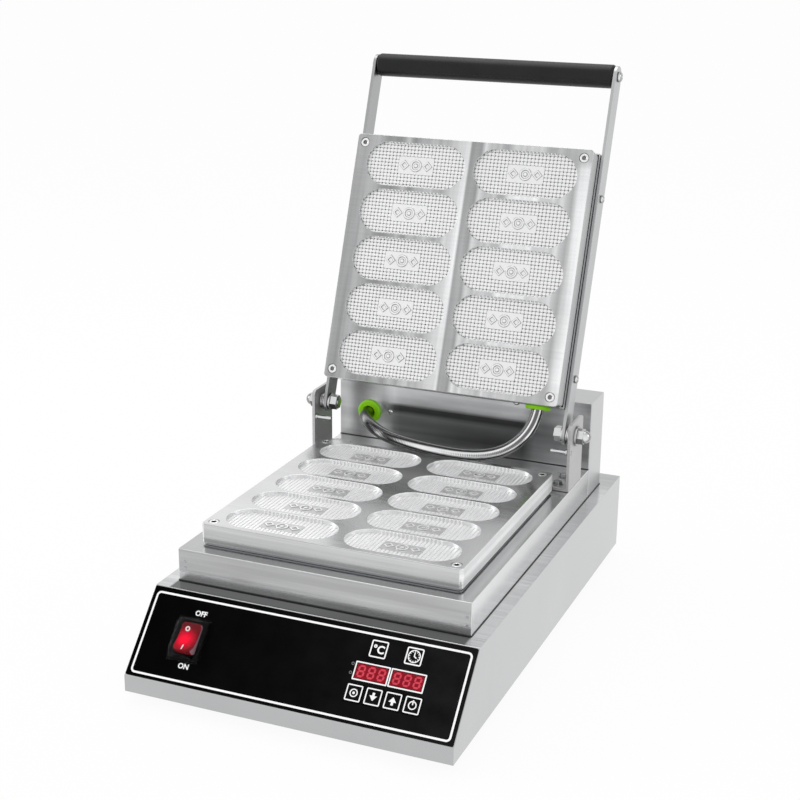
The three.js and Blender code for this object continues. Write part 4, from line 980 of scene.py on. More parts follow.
class Finishes:
    """Every material of the machine, by the piece of it that it covers."""

    def __init__(self) -> None:
        """Builds the materials."""
        # Painted reflections: what small polished metal and the hose mirror, by how far their surface turns
        # away
        polished = (
            (0.0, 1.0), (0.12, 0.95), (0.3, 0.5), (0.42, 0.2), (0.55, 0.75), (0.75, 0.35), (1.0, 0.08),
        )
        tube = (
            (0.0, 0.16), (0.03, 0.2), (0.06, 1.0), (0.14, 1.0), (0.18, 0.04), (0.29, 0.03), (0.33, 0.9),
            (0.37, 0.9), (0.41, 0.03), (0.49, 0.03), (0.53, 0.8), (0.57, 0.5), (0.62, 0.02), (1.0, 0.005),
        )
        self.sheet = MetalFinish(
            "rolled_stainless_sheet", (0.58, 0.585, 0.59), (0.5, 0.505, 0.51), 0.22, 0.06, (9.0, 620.0, 9.0),
            # The bands' tones, above one, also lighten the level surfaces as painted light
            0.03, bands=(3.0, 300.0, 3.0), band_tones=((0.4, 1.14), (0.54, 1.22), (0.68, 1.3)),
            band_way=(0.0, 0.0, 1.0),
            # Painted shade and reflection: ledge before the tray and top behind the box darker, fronts and
            # backs darker
            shades=(
                Shade(((68.2, 0.19), (71.2, 1.0)), 1, 2, where=Shade(
                    ((-133.0, 0.1), (-131.0, 1.0), (131.0, 1.0), (133.0, 0.1)), 0,
                )),
                Shade(((395.0, 1.0), (440.0, 0.66)), 1, 2),
                Shade(((0.0, 0.9), (100.0, 0.9)), 0, 1),
            ),
        ).make()
        self.tray = MetalFinish(
            "bright_tray_sheet", (0.74, 0.745, 0.75), (0.66, 0.665, 0.67), 0.22, 0.05, (9.0, 520.0, 40.0),
            # The bands' tones, below one, also darken the front and back faces as painted shade
            0.03, bands=(5.0, 5.0, 130.0), band_tones=((0.4, 0.66), (0.55, 0.74), (0.7, 0.82)),
            band_way=(0.0, 1.0, 0.0),
            # Painted reflections: fronts lighter low down and darker higher up, sides darker to the back, top
            # darker at the front
            shades=(
                Shade(((76.0, 1.5), (80.5, 1.75), (83.5, 0.95), (102.5, 0.86)), 2, 1),
                Shade(((75.0, 1.1), (230.0, 0.98), (385.0, 0.66)), 1, 0),
                Shade(((75.0, 0.68), (250.0, 0.8), (330.0, 1.0)), 1, 2),
            ),
        ).make()
        # Painted reflection: the box's front mirrors the dark underside of the lid below a line, right of the
        # green bush
        middle = Shade(((-84.0, 0.0), (-72.0, 1.0), (64.0, 1.0), (76.0, 0.0)), 0)
        front = Shade(((398.0, 1.0), (402.0, 0.0)), 1)
        self.box = MetalFinish(
            "bright_box_sheet", (0.6, 0.605, 0.61), (0.52, 0.525, 0.53), 0.3, 0.04, (7.0, 420.0, 7.0), 0.0,
            bands=(4.0, 4.0, 90.0), band_tones=((0.4, 0.86), (0.54, 1.0), (0.68, 1.14)),
            band_way=(0.0, 1.0, 0.0),
            # Painted reflection on the front, lighter towards its left, and painted shade on the top
            shades=(
                Shade((
                    (-131.0, 0.72), (-118.0, 1.0), (-104.0, 1.1), (-92.0, 1.6), (-76.0, 1.5), (-66.0, 1.0),
                ), 0, 1, where=Shade(((138.0, 1.0), (146.0, 0.25)), 2), within=front),
                Shade((
                    (104.0, 0.55), (115.0, 0.38), (122.0, 0.55), (131.0, 0.9), (136.5, 0.24), (140.5, 0.3),
                    (144.0, 1.6), (152.0, 1.6), (169.0, 1.45),
                ), 2, 1, where=middle, within=front),
                Shade(((0.0, 0.84), (100.0, 0.84)), 0, 2),
            ),
        ).make()
        self.bar = MetalFinish(
            "drawn_steel_bar", (0.6, 0.605, 0.61), (0.46, 0.465, 0.47), 0.36, 0.06, (600.0, 10.0, 10.0), 0.03,
            # Painted shade: the left arm darker than the right
            shades=(Shade(((-1.0, 0.78), (1.0, 1.0)), 0),),
        ).make()
        self.bracket = MetalFinish(
            "brushed_bracket_sheet", (0.64, 0.635, 0.64), (0.5, 0.495, 0.5), 0.58, 0.06, (9.0, 9.0, 500.0),
            0.02,
        ).make()
        # Painted reflection by how far the surface turns away
        self.bolt = MetalFinish(
            "polished_fastener", (0.86, 0.865, 0.87), (0.72, 0.725, 0.73), 0.12, 0.04, (300.0, 300.0, 300.0),
            0.02, turned_away=polished,
        ).make()
        # Painted reflection by how far the surface turns away, and painted shade near the box's bush
        self.hose = MetalFinish(
            "bright_ribbed_hose", (0.95, 0.95, 0.96), (0.82, 0.82, 0.83), 0.08, 0.03, (150.0, 150.0, 150.0),
            0.0, turned_away=tube, shades=(Shade(((389.5, 1.0), (393.5, 0.12)), 1),),
        ).make()
        self.lower = PlateFinishes(
            "lower", (0.95, 0.955, 0.96), ((0.38, 0.88), (0.5, 0.97), (0.6, 1.03), (0.7, 1.1)),
            # Painted light and shade on the panels and in the pits, then painted reflections and shade on the
            # face
            (3.0, 3.0, 240.0), None, MACHINE, SIZES.plate_face, 1, (0.68, 0.45, 1.0), 0.22, (
                # Face darker at the left and towards the back, most in the middle; front side in bands; dark
                # line at front edge
                Shade(((-118.0, 0.84), (-50.0, 0.86), (-20.0, 1.0)), 0, 2),
                Shade((
                    (84.7, 0.8), (190.0, 0.86), (225.0, 0.55), (275.0, 0.14), (323.0, 0.2),
                ), 1, 2, where=Shade((
                    (-118.0, 0.15), (-60.0, 0.35), (-26.0, 1.0), (26.0, 1.0), (40.0, 0.7), (118.0, 0.7),
                ), 0)),
                Shade((
                    (104.7, 0.9), (106.5, 0.6), (108.0, 0.62), (109.5, 0.74), (111.5, 0.64), (114.0, 0.58),
                    (117.0, 0.66), (119.0, 0.78), (122.0, 0.78),
                ), 2, 1, where=Shade(((85.5, 1.0), (87.0, 0.0)), 1)),
                Shade(((121.3, 1.0), (121.6, 0.66)), 2, None, where=Shade(((85.5, 1.0), (86.0, 0.0)), 1)),
            ),
        )
        self.upper = PlateFinishes(
            "upper", (0.62, 0.625, 0.63), ((0.38, 0.8), (0.5, 0.95), (0.6, 1.1), (0.7, 1.3)),
            (75.0, 3.0, 3.0), SIZES.opened.out, SIZES.opened, SIZES.plate_face + SIZES.closed_gap, -1,
            # Painted light and shade on the panels and in the pits, then painted reflections on the face
            (0.97, 0.5, 1.0), 0.85, (
                # Lighter and darker bands across the face, and its right part lighter away from the front edge
                Shade((
                    (-118.0, 0.77), (-108.0, 0.58), (-90.0, 0.8), (-72.0, 0.6), (-64.0, 0.98), (-56.0, 0.62),
                    (-40.0, 0.95), (-24.0, 0.84), (-17.0, 1.3), (-9.0, 1.6), (-2.0, 1.6), (0.0, 0.78),
                    (10.0, 0.8), (14.0, 1.6), (20.0, 1.2), (25.0, 0.9), (118.0, 0.95),
                ), 0, 2, SIZES.opened),
                Shade((
                    (34.0, 1.0), (50.0, 1.6), (84.0, 1.6), (88.0, 1.3), (96.0, 1.6), (104.0, 1.1),
                    (109.0, 1.6),
                ), 0, 2, SIZES.opened, Shade((
                    (84.7, 0.15), (96.0, 0.15), (104.0, 1.0), (300.0, 1.0), (312.0, 0.5),
                ), 1, None, SIZES.opened)),
            ),
        )
        self.zinc = MetalFinish(
            "zinc_coated_sheet", (0.5, 0.51, 0.53), (0.36, 0.37, 0.39), 0.4, 0.1, (60.0, 60.0, 60.0), 0.04,
            40.0,
        ).make()
        self.sheath = MetalFinish(
            "heat_tinted_tube", (0.34, 0.3, 0.27), (0.2, 0.19, 0.2), 0.42, 0.1, (30.0, 400.0, 400.0), 0.08,
            30.0,
        ).make()
        self.grip = MouldedFinish(
            "smooth_black_grip", (0.01, 0.01, 0.011), (0.005, 0.005, 0.006), 0.38, 900.0, 0.02, 0.03,
            specular=0.26,
        ).make()
        # Painted light: the film darker at the left and lighter towards the right
        self.film = MouldedFinish(
            "printed_black_film", (0.014, 0.014, 0.015), (0.005, 0.005, 0.0055), 0.4, 2600.0, 0.02,
            specular=0.015, shades=(Shade(((-145.0, 0.06), (0.0, 0.3), (145.0, 1.0)), 0),),
        ).make()
        self.key = MouldedFinish(
            "printed_black_key", (0.005, 0.005, 0.005), (0.002, 0.002, 0.002), 0.4, 2600.0, 0.02,
            specular=0.06,
        ).make()
        # Painted glow: the white print shines faintly of its own
        self.print = MouldedFinish(
            "white_print", (0.9, 0.9, 0.9), (0.84, 0.84, 0.84), 0.5, 2600.0, 0.01, 0.0, 0.15, specular=0.2,
        ).make()
        self.faint_print = MouldedFinish(
            "grey_print", (0.2, 0.2, 0.21), (0.14, 0.14, 0.15), 0.5, 2600.0, 0.01, specular=0.2,
        ).make()
        self.rubber = MouldedFinish(
            "moulded_rubber", (0.025, 0.025, 0.026), (0.014, 0.014, 0.015), 0.72, 1500.0, 0.2, 0.0, 0.0, 0.2,
        ).make()
        # Painted glow: the green silicone shines faintly of its own
        self.silicone = MouldedFinish(
            "green_silicone", (0.3, 0.74, 0.006), (0.24, 0.64, 0.005), 0.42, 1600.0, 0.03, 0.1, 0.12,
            specular=0.25,
        ).make()
        # Painted glow: the red filter shines faintly of its own
        self.filter = MouldedFinish(
            "red_display_filter", (0.26, 0.004, 0.014), (0.18, 0.002, 0.009), 0.3, 2600.0, 0.01, 0.0, 0.12,
            specular=0.12,
        ).make()
        # Painted glow: the unlit segments shine faintly of their own
        self.segment = MouldedFinish(
            "unlit_segment", (0.62, 0.06, 0.09), (0.52, 0.04, 0.07), 0.3, 2600.0, 0.01, 0.0, 0.15,
            specular=0.12,
        ).make()
        self.rocker = LitFinish(
            "translucent_red_rocker", (0.9, 0.0, 0.03), (0.07, 0.002, 0.004), (-99.5, 20.5, 48.0), 13.0,
        ).make()
        self.switch = MouldedFinish(
            "gloss_black_switch", (0.003, 0.003, 0.0035), (0.0015, 0.0015, 0.002), 0.2, 2000.0, 0.02,
            specular=0.12,
        ).make()
        self.clear = ClearFinish("clear_switch_cover").make()
        self.wool = MouldedFinish(
            "ceramic_wool_board", (0.82, 0.79, 0.72), (0.7, 0.66, 0.58), 0.9, 500.0, 0.6, 0.0, 0.0, 0.4,
        ).make()
        self.board = MouldedFinish(
            "green_circuit_board", (0.03, 0.2, 0.07), (0.02, 0.13, 0.045), 0.4, 900.0, 0.1, 0.2,
        ).make()
        self.ceramic = MouldedFinish(
            "white_ceramic_block", (0.82, 0.8, 0.74), (0.72, 0.7, 0.63), 0.35, 1200.0, 0.05, 0.3,
        ).make()


def finished(name: str, mesh: bpy.types.Mesh, material: Material, body: Body,
             node: str = "") -> None:
    """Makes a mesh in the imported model's frame a piece of the machine.

    Args:
        name: the piece's name.
        mesh: its mesh, in metres, in its place.
        material: its finish.
        body: the body that it rides on.
        node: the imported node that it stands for, if any.
    """
    piece = linked(name, mesh)
    mesh.materials.clear()
    mesh.materials.append(material)
    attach(piece, body.value)
    if node:
        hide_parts(node)
    even = piece.modifiers.new("even_normals", "WEIGHTED_NORMAL")
    even.keep_sharp = True
    even.weight = 100
    log.info("made %s, which rides on %s", name, body.value)


def linked(name: str, data: bpy.types.ID) -> bpy.types.Object:
    """Makes an object of some data and links it to the scene."""
    item = bpy.data.objects.new(name, data)
    bpy.context.scene.collection.objects.link(item)
    return item


def merged(mesh: bpy.types.Mesh) -> bmesh.types.BMesh:
    """A mesh opened for work, with the points that meet made one."""
    work = bmesh.new()
    work.from_mesh(mesh)
    bmesh.ops.remove_doubles(work, verts=work.verts, dist=MERGE)
    return work


def closed(work: bmesh.types.BMesh, mesh: bpy.types.Mesh) -> bpy.types.Mesh:
    """Puts the work back into its mesh."""
    work.to_mesh(mesh)
    work.free()
    return mesh


def mesh_of(name: str, skin: Skin, placing: Placing = MACHINE, sharp: float = SHARP_ANGLE) -> bpy.types.Mesh:
    """Puts a skin into a mesh: merged where points meet, faces outwards, smooth but for sharp edges.

    Args:
        name: the mesh's name.
        skin: the points and faces.
        placing: where the skin is drawn.
        sharp: the angle in radians past which an edge stays sharp.

    Returns:
        The mesh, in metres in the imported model's frame.
    """
    mesh = bpy.data.meshes.new(name)
    mesh.from_pydata(in_row(placing.place(skin.points())).tolist(), [], skin.faces)
    work = merged(mesh)
    bmesh.ops.dissolve_degenerate(work, edges=work.edges, dist=MERGE / 2)
    bmesh.ops.recalc_face_normals(work, faces=work.faces)
    smooth(work, sharp)
    return closed(work, mesh)


def made(name: str, skin: Skin, placing: Placing, material: Material, body: Body,
         node: str = "", sharp: float = SHARP_ANGLE) -> None:
    """Makes a skin a piece of the machine.

    Args:
        name: the piece's name.
        skin: its points and faces.
        placing: where the skin is drawn.
        material: its finish.
        body: the body that it rides on.
        node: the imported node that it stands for, if any.
        sharp: the angle in radians past which an edge stays sharp.
    """
    finished(name, mesh_of(name, skin, placing, sharp), material, body, node)


def smooth(work: bmesh.types.BMesh, sharp: float, level: Point | None = None) -> None:
    """Shades every face smooth and marks the edges that turn by more than an angle as sharp.

    Args:
        work: the mesh.
        sharp: the angle in radians.
        level: a direction; where a face square to it meets one that isn't, the edge is sharp too.
    """
    square = 0.9998
    for face in work.faces:
        face.smooth = True
    for edge in work.edges:
        edge.smooth = not edge.is_manifold or edge.calc_face_angle(0.0) < sharp
    if level is not None:
        for edge in work.edges:
            lies = [abs(face.normal.dot(Vector(level))) > square for face in edge.link_faces]
            if len(set(lies)) > 1:
                edge.smooth = False


def refined(node: str, name: str, material: Material, body: Body, radius: float,
            shortest: float = 20.0, steps: int = 3) -> None:
    """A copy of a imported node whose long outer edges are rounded, as bent sheet is, and which stands for it.

    Args:
        node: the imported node.
        name: the new piece's name.
        material: its finish.
        body: the body that it rides on.
        radius: of the rounded edges, in millimetres.
        shortest: an edge is rounded if it is longer than this, in millimetres.
        steps: steps in each round.
    """
    # Faces within this angle are one, an edge that turns by more than this is rounded, and the faces beside
    # it must be this many times as wide as the round
    flat, turn, slimmest = math.radians(0.6), math.radians(25), 2.5
    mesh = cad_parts[node].data.copy()
    mesh.name = name
    work = merged(mesh)
    bmesh.ops.dissolve_limit(work, angle_limit=flat, verts=work.verts, edges=work.edges, delimit=set())
    chosen = [
        edge for edge in work.edges
        if edge.is_manifold and edge.calc_length() > shortest * MM
        and edge.calc_face_angle_signed(0.0) > turn
        and min(2 * f.calc_area() / f.calc_perimeter() for f in edge.link_faces) > slimmest * radius * MM
    ]
    bmesh.ops.bevel(
        work, geom=chosen, offset=radius * MM, offset_type="OFFSET", segments=steps, profile=0.5,
        affect="EDGES", clamp_overlap=True,
    )
    smooth(work, SHARP_ANGLE)
    closed(work, mesh)
    given = mesh.attributes.get("custom_normal")
    if given:
        mesh.attributes.remove(given)
    finished(name, mesh, material, body, node)


def dress(node: str, material: Material) -> None:
    """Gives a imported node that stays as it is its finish."""
    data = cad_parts[node].data
    data.materials.clear()
    data.materials.append(material)
    log.info("dressed %s", node)


@dataclass
class Hose:
    """The ribbed metal hose that carries the lid's wires, from the rear box to the open lid."""

    radius: float = 6.0
    bore: float = 4.6
    rib_depth: float = 0.06
    ribs: int = 150
    sides: int = 32
    rings_per_rib: int = 5
    length: float = 262.0
    sharp: float = 80.0
    path_points: int = 200
    # The middle line from the rear box to the open lid: across, back from the lip, up
    route: tuple[Point, ...] = (
        (-98.9, 400.4, 130.7), (-98.9, 391, 130.7), (-96.7, 378.8, 130.7), (-90.4, 368, 130.5),
        (-81.9, 358.7, 129.6), (-71.9, 350.8, 128), (-60.8, 344.5, 126.6), (-48.8, 339.8, 125.5),
        (-36.2, 336.4, 124.7), (-23.4, 334, 124), (-10.4, 332.4, 123.4), (2.7, 331.6, 122.9),
        (15.8, 331.4, 122.6), (28.8, 331.8, 122.9), (41.7, 332.9, 124.2), (54.1, 334.7, 127.1),
        (65.5, 337.2, 131.9), (75.5, 340.5, 139), (83.4, 344.4, 148), (88.7, 348.6, 158.5),
        (91, 353.1, 169.6), (91, 356.4, 178.2),
    )
    knots: int = 40
    # Two places on the hose's way, one near the box's end and one near the lid's
    blend_start: Point = (-80.0, 340.0, 130.0)
    blend_end: Point = (84.0, 340.0, 130.0)
    bush: Turning = Turning((
        (6.3, -3.3), (10.0, -3.3), (10.0, -1.5), (8.2, -1.5), (8.2, GAP), (12.0, GAP), (12.0, 2.6),
        (10.8, 3.7), (6.9, 3.7), (6.3, 3.1), (6.3, -3.3),
    ), 0.8, 48)
    # Across and up on the box, and on the closed lid
    box_hole: Pair = (-98.9, 130.7)
    lid_hole: Pair = (91.0, 153.55)

    def middle_line(self, count: int) -> np.ndarray:
        """The route as one smooth curve: Catmull-Rom, its knots spaced by the root of the distance.

        Args:
            count: how many points to give, equally spaced along the curve.

        Returns:
            An array of count by 3, in machine millimetres.
        """
        given = np.array(self.route, float)
        ends = np.vstack([2 * given[0] - given[1], given, 2 * given[-1] - given[-2]])
        t = np.linspace(0, 1, self.knots, endpoint=False)[:, None]
        pieces = []
        for a, b, c, d in zip(ends, ends[1:], ends[2:], ends[3:], strict=False):
            u, v, w = (math.sqrt(np.linalg.norm(q - p)) for p, q in ((a, b), (b, c), (c, d)))
            leave = ((b - a) / u - (c - a) / (u + v) + (c - b) / v) * v
            arrive = ((c - b) / v - (d - b) / (v + w) + (d - c) / w) * v
            square = -3 * b + 3 * c - 2 * leave - arrive
            cube = 2 * b - 2 * c + leave + arrive
            pieces.append(b + leave * t + square * t ** 2 + cube * t ** 3)
        dense = np.vstack([*pieces, given[-1:]])
        travelled = np.concatenate([[0], np.cumsum(np.linalg.norm(np.diff(dense, axis=0), axis=1))])
        wanted = np.linspace(0, travelled[-1], count)
        return np.stack([np.interp(wanted, travelled, dense[:, i]) for i in range(3)], -1)

    def make(self, finishes: Finishes) -> None:
        """Builds the hose: rings square to its middle line, whose radius swells and shrinks with each rib."""
        count = self.ribs * self.rings_per_rib + 1
        line = self.middle_line(count)
        along = np.gradient(line, axis=0)
        along /= np.linalg.norm(along, axis=1, keepdims=True)
        side = np.zeros_like(line)
        side[0] = (1.0, 0.0, 0.0)
        for i in range(count):
            carried = side[max(i - 1, 0)]
            carried = carried - along[i] * (carried @ along[i])
            side[i] = carried / np.linalg.norm(carried)
        upward_side = np.cross(along, side)
        wave = np.abs(np.sin(np.arange(count) * math.pi / self.rings_per_rib))
        radius = self.radius - self.rib_depth * (1 - np.sqrt(wave))
        turns = np.arange(self.sides) * FULL_TURN / self.sides
        across, upright = np.cos(turns)[None, :, None], np.sin(turns)[None, :, None]
        spoke = side[:, None] * across + upward_side[:, None] * upright
        outside = line[:, None] + radius[:, None, None] * spoke
        inside = line[:, None] + self.bore * spoke
        rings = np.vstack([outside, inside[::-self.rings_per_rib]])
        name = "wire_hose_tube"
        skin = Skin().grid(rings, around=True, closed=True)
        piece = linked(name, mesh_of(name, skin, sharp=math.radians(self.sharp)))
        piece.data.materials.append(finishes.hose)
        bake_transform(piece)
        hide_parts("wire_hose")
        log.info("made %s, which bends between base and lid", name)
        self.add_bushes(finishes)

    def add_bushes(self, finishes: Finishes) -> None:
        """The green bushes where the hose leaves the rear box and enters the lid."""
        (x, z), (lid_x, lid_z) = self.box_hole, self.lid_hole
        box = along_y(x, SIZES.tray_rear, z, -1)
        lid = SIZES.opened.holding(along_y(lid_x, SIZES.plate_rear, lid_z))
        for name, place, body in (("box", box, Body.BASE), ("lid", lid, Body.LID)):
            made(f"{name}_hose_bush", self.bush.skin(), place, finishes.silicone, body,
                 f"{name}_grommet")


@dataclass
class Base:
    """The folded base with its bottom plate, its feet and the cable gland at the back."""

    edge: float = 0.4
    foot_inset: float = 34.0
    gland_place: Point = (-90.0, 466.9, 35.0)
    foot: Turning = Turning((
        (2.3, -0.3), (11.0, -0.3), (11.0, -2.4), (9.7, -8.0), (5.5, -8.0), (5.5, -4.0), (2.3, -4.0),
        (2.3, -0.3),
    ), 0.7, 48)
    foot_screw: Turning = Turning((
        (0.0, -5.9), (2.4, -5.7), (3.9, -4.2), (3.9, -4.05), (1.9, -4.05), (1.9, 5.0), (0.0, 5.0),
    ), 0.3)
    gland: Turning = Turning((
        (4.5, -12.1), (7.8, -12.1), (7.8, 0.0), (11.0, 0.0), (11.0, 4.5), (9.6, 4.5), (9.6, 12.0),
        (7.2, 19.5), (4.5, 19.5), (4.5, -12.1),
    ), 0.8, 36)

    def make(self, finishes: Finishes) -> None:
        """Builds the sub-assembly: the shell, the feet with their screws, and the empty gland."""
        refined("base_shell", "folded_base", finishes.sheet, Body.BASE, self.edge)
        dress("bottom_plate", finishes.zinc)
        names = ("front_left", "front_right", "rear_right", "rear_left")
        half_width, half_depth = SIZES.base_width / 2, SIZES.base_depth / 2
        for name, (sx, sy) in zip(names, CORNERS, strict=True):
            place = upward(
                sx * (half_width - self.foot_inset), half_depth + sy * (half_depth - self.foot_inset), 0.0,
            )
            made(f"rubber_foot_{name}", self.foot.skin(), place, finishes.rubber, Body.BASE,
                 f"foot_{name}")
            made(f"foot_screw_{name}", self.foot_screw.skin(), place, finishes.bolt, Body.BASE)
        made("cord_gland", self.gland.skin(), along_y(*self.gland_place), finishes.grip, Body.BASE,
             "cable_gland")
        dress("gland_nut", finishes.grip)


@dataclass
class Tray:
    """The raised tray on the base, and the heater pan that hangs in it."""

    edge: float = 0.7
    # Painted shadow strips: their width, the front one's height and their rounded edge
    gap_shadow_width: float = 0.6
    front_gap_shadow_height: float = 0.96
    gap_shadow_edge: float = 0.1
    weld: Turning = Turning(((1.5, -0.05), (1.3, 0.1), (0.7, 0.05), (0.0, 0.03)), sides=16)
    # Across and up
    weld_places: tuple[Pair, ...] = (
        (-125.5, 91.8), (-125.5, 86.5), (128.0, 89.8), (128.0, 82.1),
    )

    def make(self, finishes: Finishes) -> None:
        """Builds the sub-assembly."""
        refined("tray", "raised_tray", finishes.tray, Body.BASE, self.edge)
        dress("lower_heater_pan", finishes.zinc)
        welds = Skin()
        for x, z in self.weld_places:
            welds.add(self.weld.skin(), along_y(x, SIZES.tray_front, z, -1))
        made("tray_spot_welds", welds, MACHINE, finishes.zinc, Body.BASE)
        # Painted shadow: dark strips in the gaps round the tray
        made("gap_shadow_strips", self.joints(), MACHINE, finishes.rubber, Body.BASE)

    def joints(self) -> Skin:
        """Dark rubber strips laid as painted shadow in the gaps round the foot of the tray, and where the rear
        box stands behind it.
        """
        wide, edge, half = self.gap_shadow_width, self.gap_shadow_edge, SIZES.tray_half
        front, foot, rear, top = SIZES.tray_front, SIZES.base_height, SIZES.tray_rear, SIZES.tray_top
        skin = Skin()
        skin.add(block(-half, half, front - wide, front, foot, foot + self.front_gap_shadow_height, edge))
        for side in (-1, 1):
            inner, outer = sorted((side * half, side * (half + wide)))
            skin.add(block(inner, outer, front, SIZES.box_rear, foot, foot + wide, edge))
        return skin.add(block(-half, half, rear - wide, rear, top, top + wide, edge))


@dataclass
class BakingPlate:
    """A milled plate with ten long round-ended cavities, whose floors carry a grid of small blocks."""

    name: str
    node: str
    body: Body
    face: float
    # Which way the plate's metal lies from its face: -1 is down and 1 is up
    away: int
    corner: float = 4.0
    edge: float = 0.6
    cavity_length: float = 101.0
    cavity_width: float = 42.0
    cavity_depth: float = 4.5
    pitch_across: float = 110.0
    pitch_along: float = 46.0
    rows: int = 5
    columns: int = 2
    draft: float = 0.5
    rim: float = 0.3
    floor_round: float = 0.3
    end_steps: int = 16
    # How far the cutters reach past what they cut
    past: float = 2.0
    grid_pitch: float = 3.6
    row_pitch: float = 3.4
    groove: float = 0.01
    block_top: Pair = (1.42, 1.46)
    block_foot: float = -0.3
    block_height: float = 1.5
    notch_height: float = 0.7
    pit_half: float = 0.62
    pit_head: float = 0.85
    room_inset: float = 0.35
    room_height: float = 3.0
    # Half the width of a rib and how far it stands out, at its foot and at its head
    rib_foot: Pair = (0.85, 1.5)
    rib_head: Pair = (0.68, 0.7)
    rib_head_depth: float = 0.25
    rib_root: float = 0.4
    panel_size: Pair = (36.0, 17.0)
    panel_corner: float = 1.2
    panel_edge: float = 0.35
    panel_height: float = 1.5
    panel_root: float = 0.3
    motif_root: float = 0.1
    ring: Turning = Turning(((6.3, 0.0), (5.4, 1.0), (4.3, 1.0), (3.4, 0.0), (6.3, 0.0)), sides=32)
    stud: Turning = Turning(((2.4, 0.0), (1.5, 1.0), (0.0, 1.0)))
    lozenge: Turning = Turning(((5.4, 0.0), (4.4, 1.0), (3.0, 1.0), (2.0, 0.0), (5.4, 0.0)), sides=4)
    lozenge_shift: float = 11.8
    screw_inset: float = 8.3
    screw_seat: float = 3.6
    seat_radius: float = 4.7
    bore_radius: float = 2.8
    screw: Turning = Turning((
        (0.0, -12.0), (2.5, -12.0), (2.5, -3.4), (4.3, -3.4), (4.4, -0.5), (3.9, 0.0), (2.3, 0.0),
        (2.2, -1.9), (0.0, -1.9),
    ), 0.25, 36, 2, 2.35)

    @property
    def placing(self) -> Placing:
        """Where the plate is drawn: the upper one is drawn closed and opened with the lid."""
        return MACHINE if self.away < 0 else SIZES.opened

    @property
    def floor(self) -> float:
        """The height of the cavities' floors."""
        return self.face + self.away * self.cavity_depth

    def centres(self) -> list[Pair]:
        """The middles of the cavities."""
        return [
            ((column - (self.columns - 1) / 2) * self.pitch_across,
             SIZES.plate_middle + (row - (self.rows - 1) / 2) * self.pitch_along)
            for row in range(self.rows) for column in range(self.columns)
        ]

    def screw_places(self) -> list[Pair]:
        """The middles of the plate's four screws."""
        half_depth = (SIZES.plate_rear - SIZES.plate_front) / 2
        return [
            (sx * (SIZES.plate_half - self.screw_inset),
             SIZES.plate_middle + sy * (half_depth - self.screw_inset))
            for sx, sy in CORNERS
        ]

    def stadium(self, x: float, y: float, levels: Profile) -> Skin:
        """A solid whose outlines are the cavity's own, pulled in by each inset, at the given heights."""
        def outline(inset: float) -> np.ndarray:
            """The cavity's outline pulled in by inset."""
            width = self.cavity_width - 2 * inset
            return rounded(self.cavity_length - 2 * inset, width, width / 2, self.end_steps, x, y)
        return stacked(outline, levels)

    def cavity(self, x: float, y: float) -> Skin:
        """The tool that cuts one cavity: a stadium that widens from the floor to a flared rim."""
        r = self.floor_round
        levels = [
            (self.draft + r * (1 - math.sin(a)), self.floor - self.away * r * (1 - math.cos(a)))
            for a in arc(0, 90, 3)
        ]
        levels += [
            (self.rim * (math.cos(a) - 1), self.face + self.away * self.rim * (1 - math.sin(a)))
            for a in arc(0, 90, 3)
        ]
        levels.append((-self.rim, self.face - self.away * self.past))
        return self.stadium(x, y, levels)

    def room(self, x: float, y: float) -> Skin:
        """The space that a cavity's blocks are trimmed to: a stadium just outside its wall at the floor."""
        return self.stadium(x, y, [
            (self.room_inset, self.floor + self.away * self.past),
            (self.room_inset, self.floor - self.away * self.room_height),
        ])

    def lattice(self) -> np.ndarray:
        """The blocks' middles about a cavity's middle: a square grid, less the smooth panel's place."""
        columns = math.ceil(self.cavity_length / self.grid_pitch / 2)
        rows = math.ceil(self.cavity_width / self.row_pitch / 2)
        across, along = np.meshgrid(
            (np.arange(-columns, columns) + 0.5) * self.grid_pitch,
            np.arange(-rows, rows + 1) * self.row_pitch,
        )
        middles = np.stack([across.ravel(), along.ravel()], -1)
        end = self.cavity_width / 2
        past = np.maximum(np.abs(middles[:, 0]) - (self.cavity_length / 2 - end), 0)
        inside = np.hypot(past, middles[:, 1]) < end + self.grid_pitch
        return middles[inside & (np.abs(middles) > np.array(self.panel_size) / 2).any(1)]

    def bumps(self, x: float, y: float) -> Skin:
        """The low blocks on one cavity's floor, which are trimmed to its wall afterwards.

        Each is a column of rectangles with cut corners. They stand close together up to the notch's height
        and taper above it, so that narrow grooves run both ways, with a deep pit at each crossing.
        """
        middle = self.lattice() + (x, y)
        close = (self.grid_pitch / 2 - self.groove, self.row_pitch / 2 - self.groove)
        levels = (
            (close, self.pit_half, self.block_foot), (close, self.pit_half, self.notch_height),
            (self.block_top, self.pit_head, self.block_height),
        )
        rings = []
        for (half, deep), corner, height in levels:
            long, short = half - corner, deep - corner
            outline = np.array([
                (half, -short), (half, short), (long, deep), (-long, deep),
                (-half, short), (-half, -short), (-long, -deep), (long, -deep),
            ])
            flat = middle[:, None] + outline[None]
            heights = np.full((*flat.shape[:2], 1), self.floor - self.away * height)
            rings.append(np.concatenate([flat, heights], -1))
        skin = Skin()
        for ring in np.stack(rings, 1):
            skin.grid(ring, around=True, ends=True)
        return skin

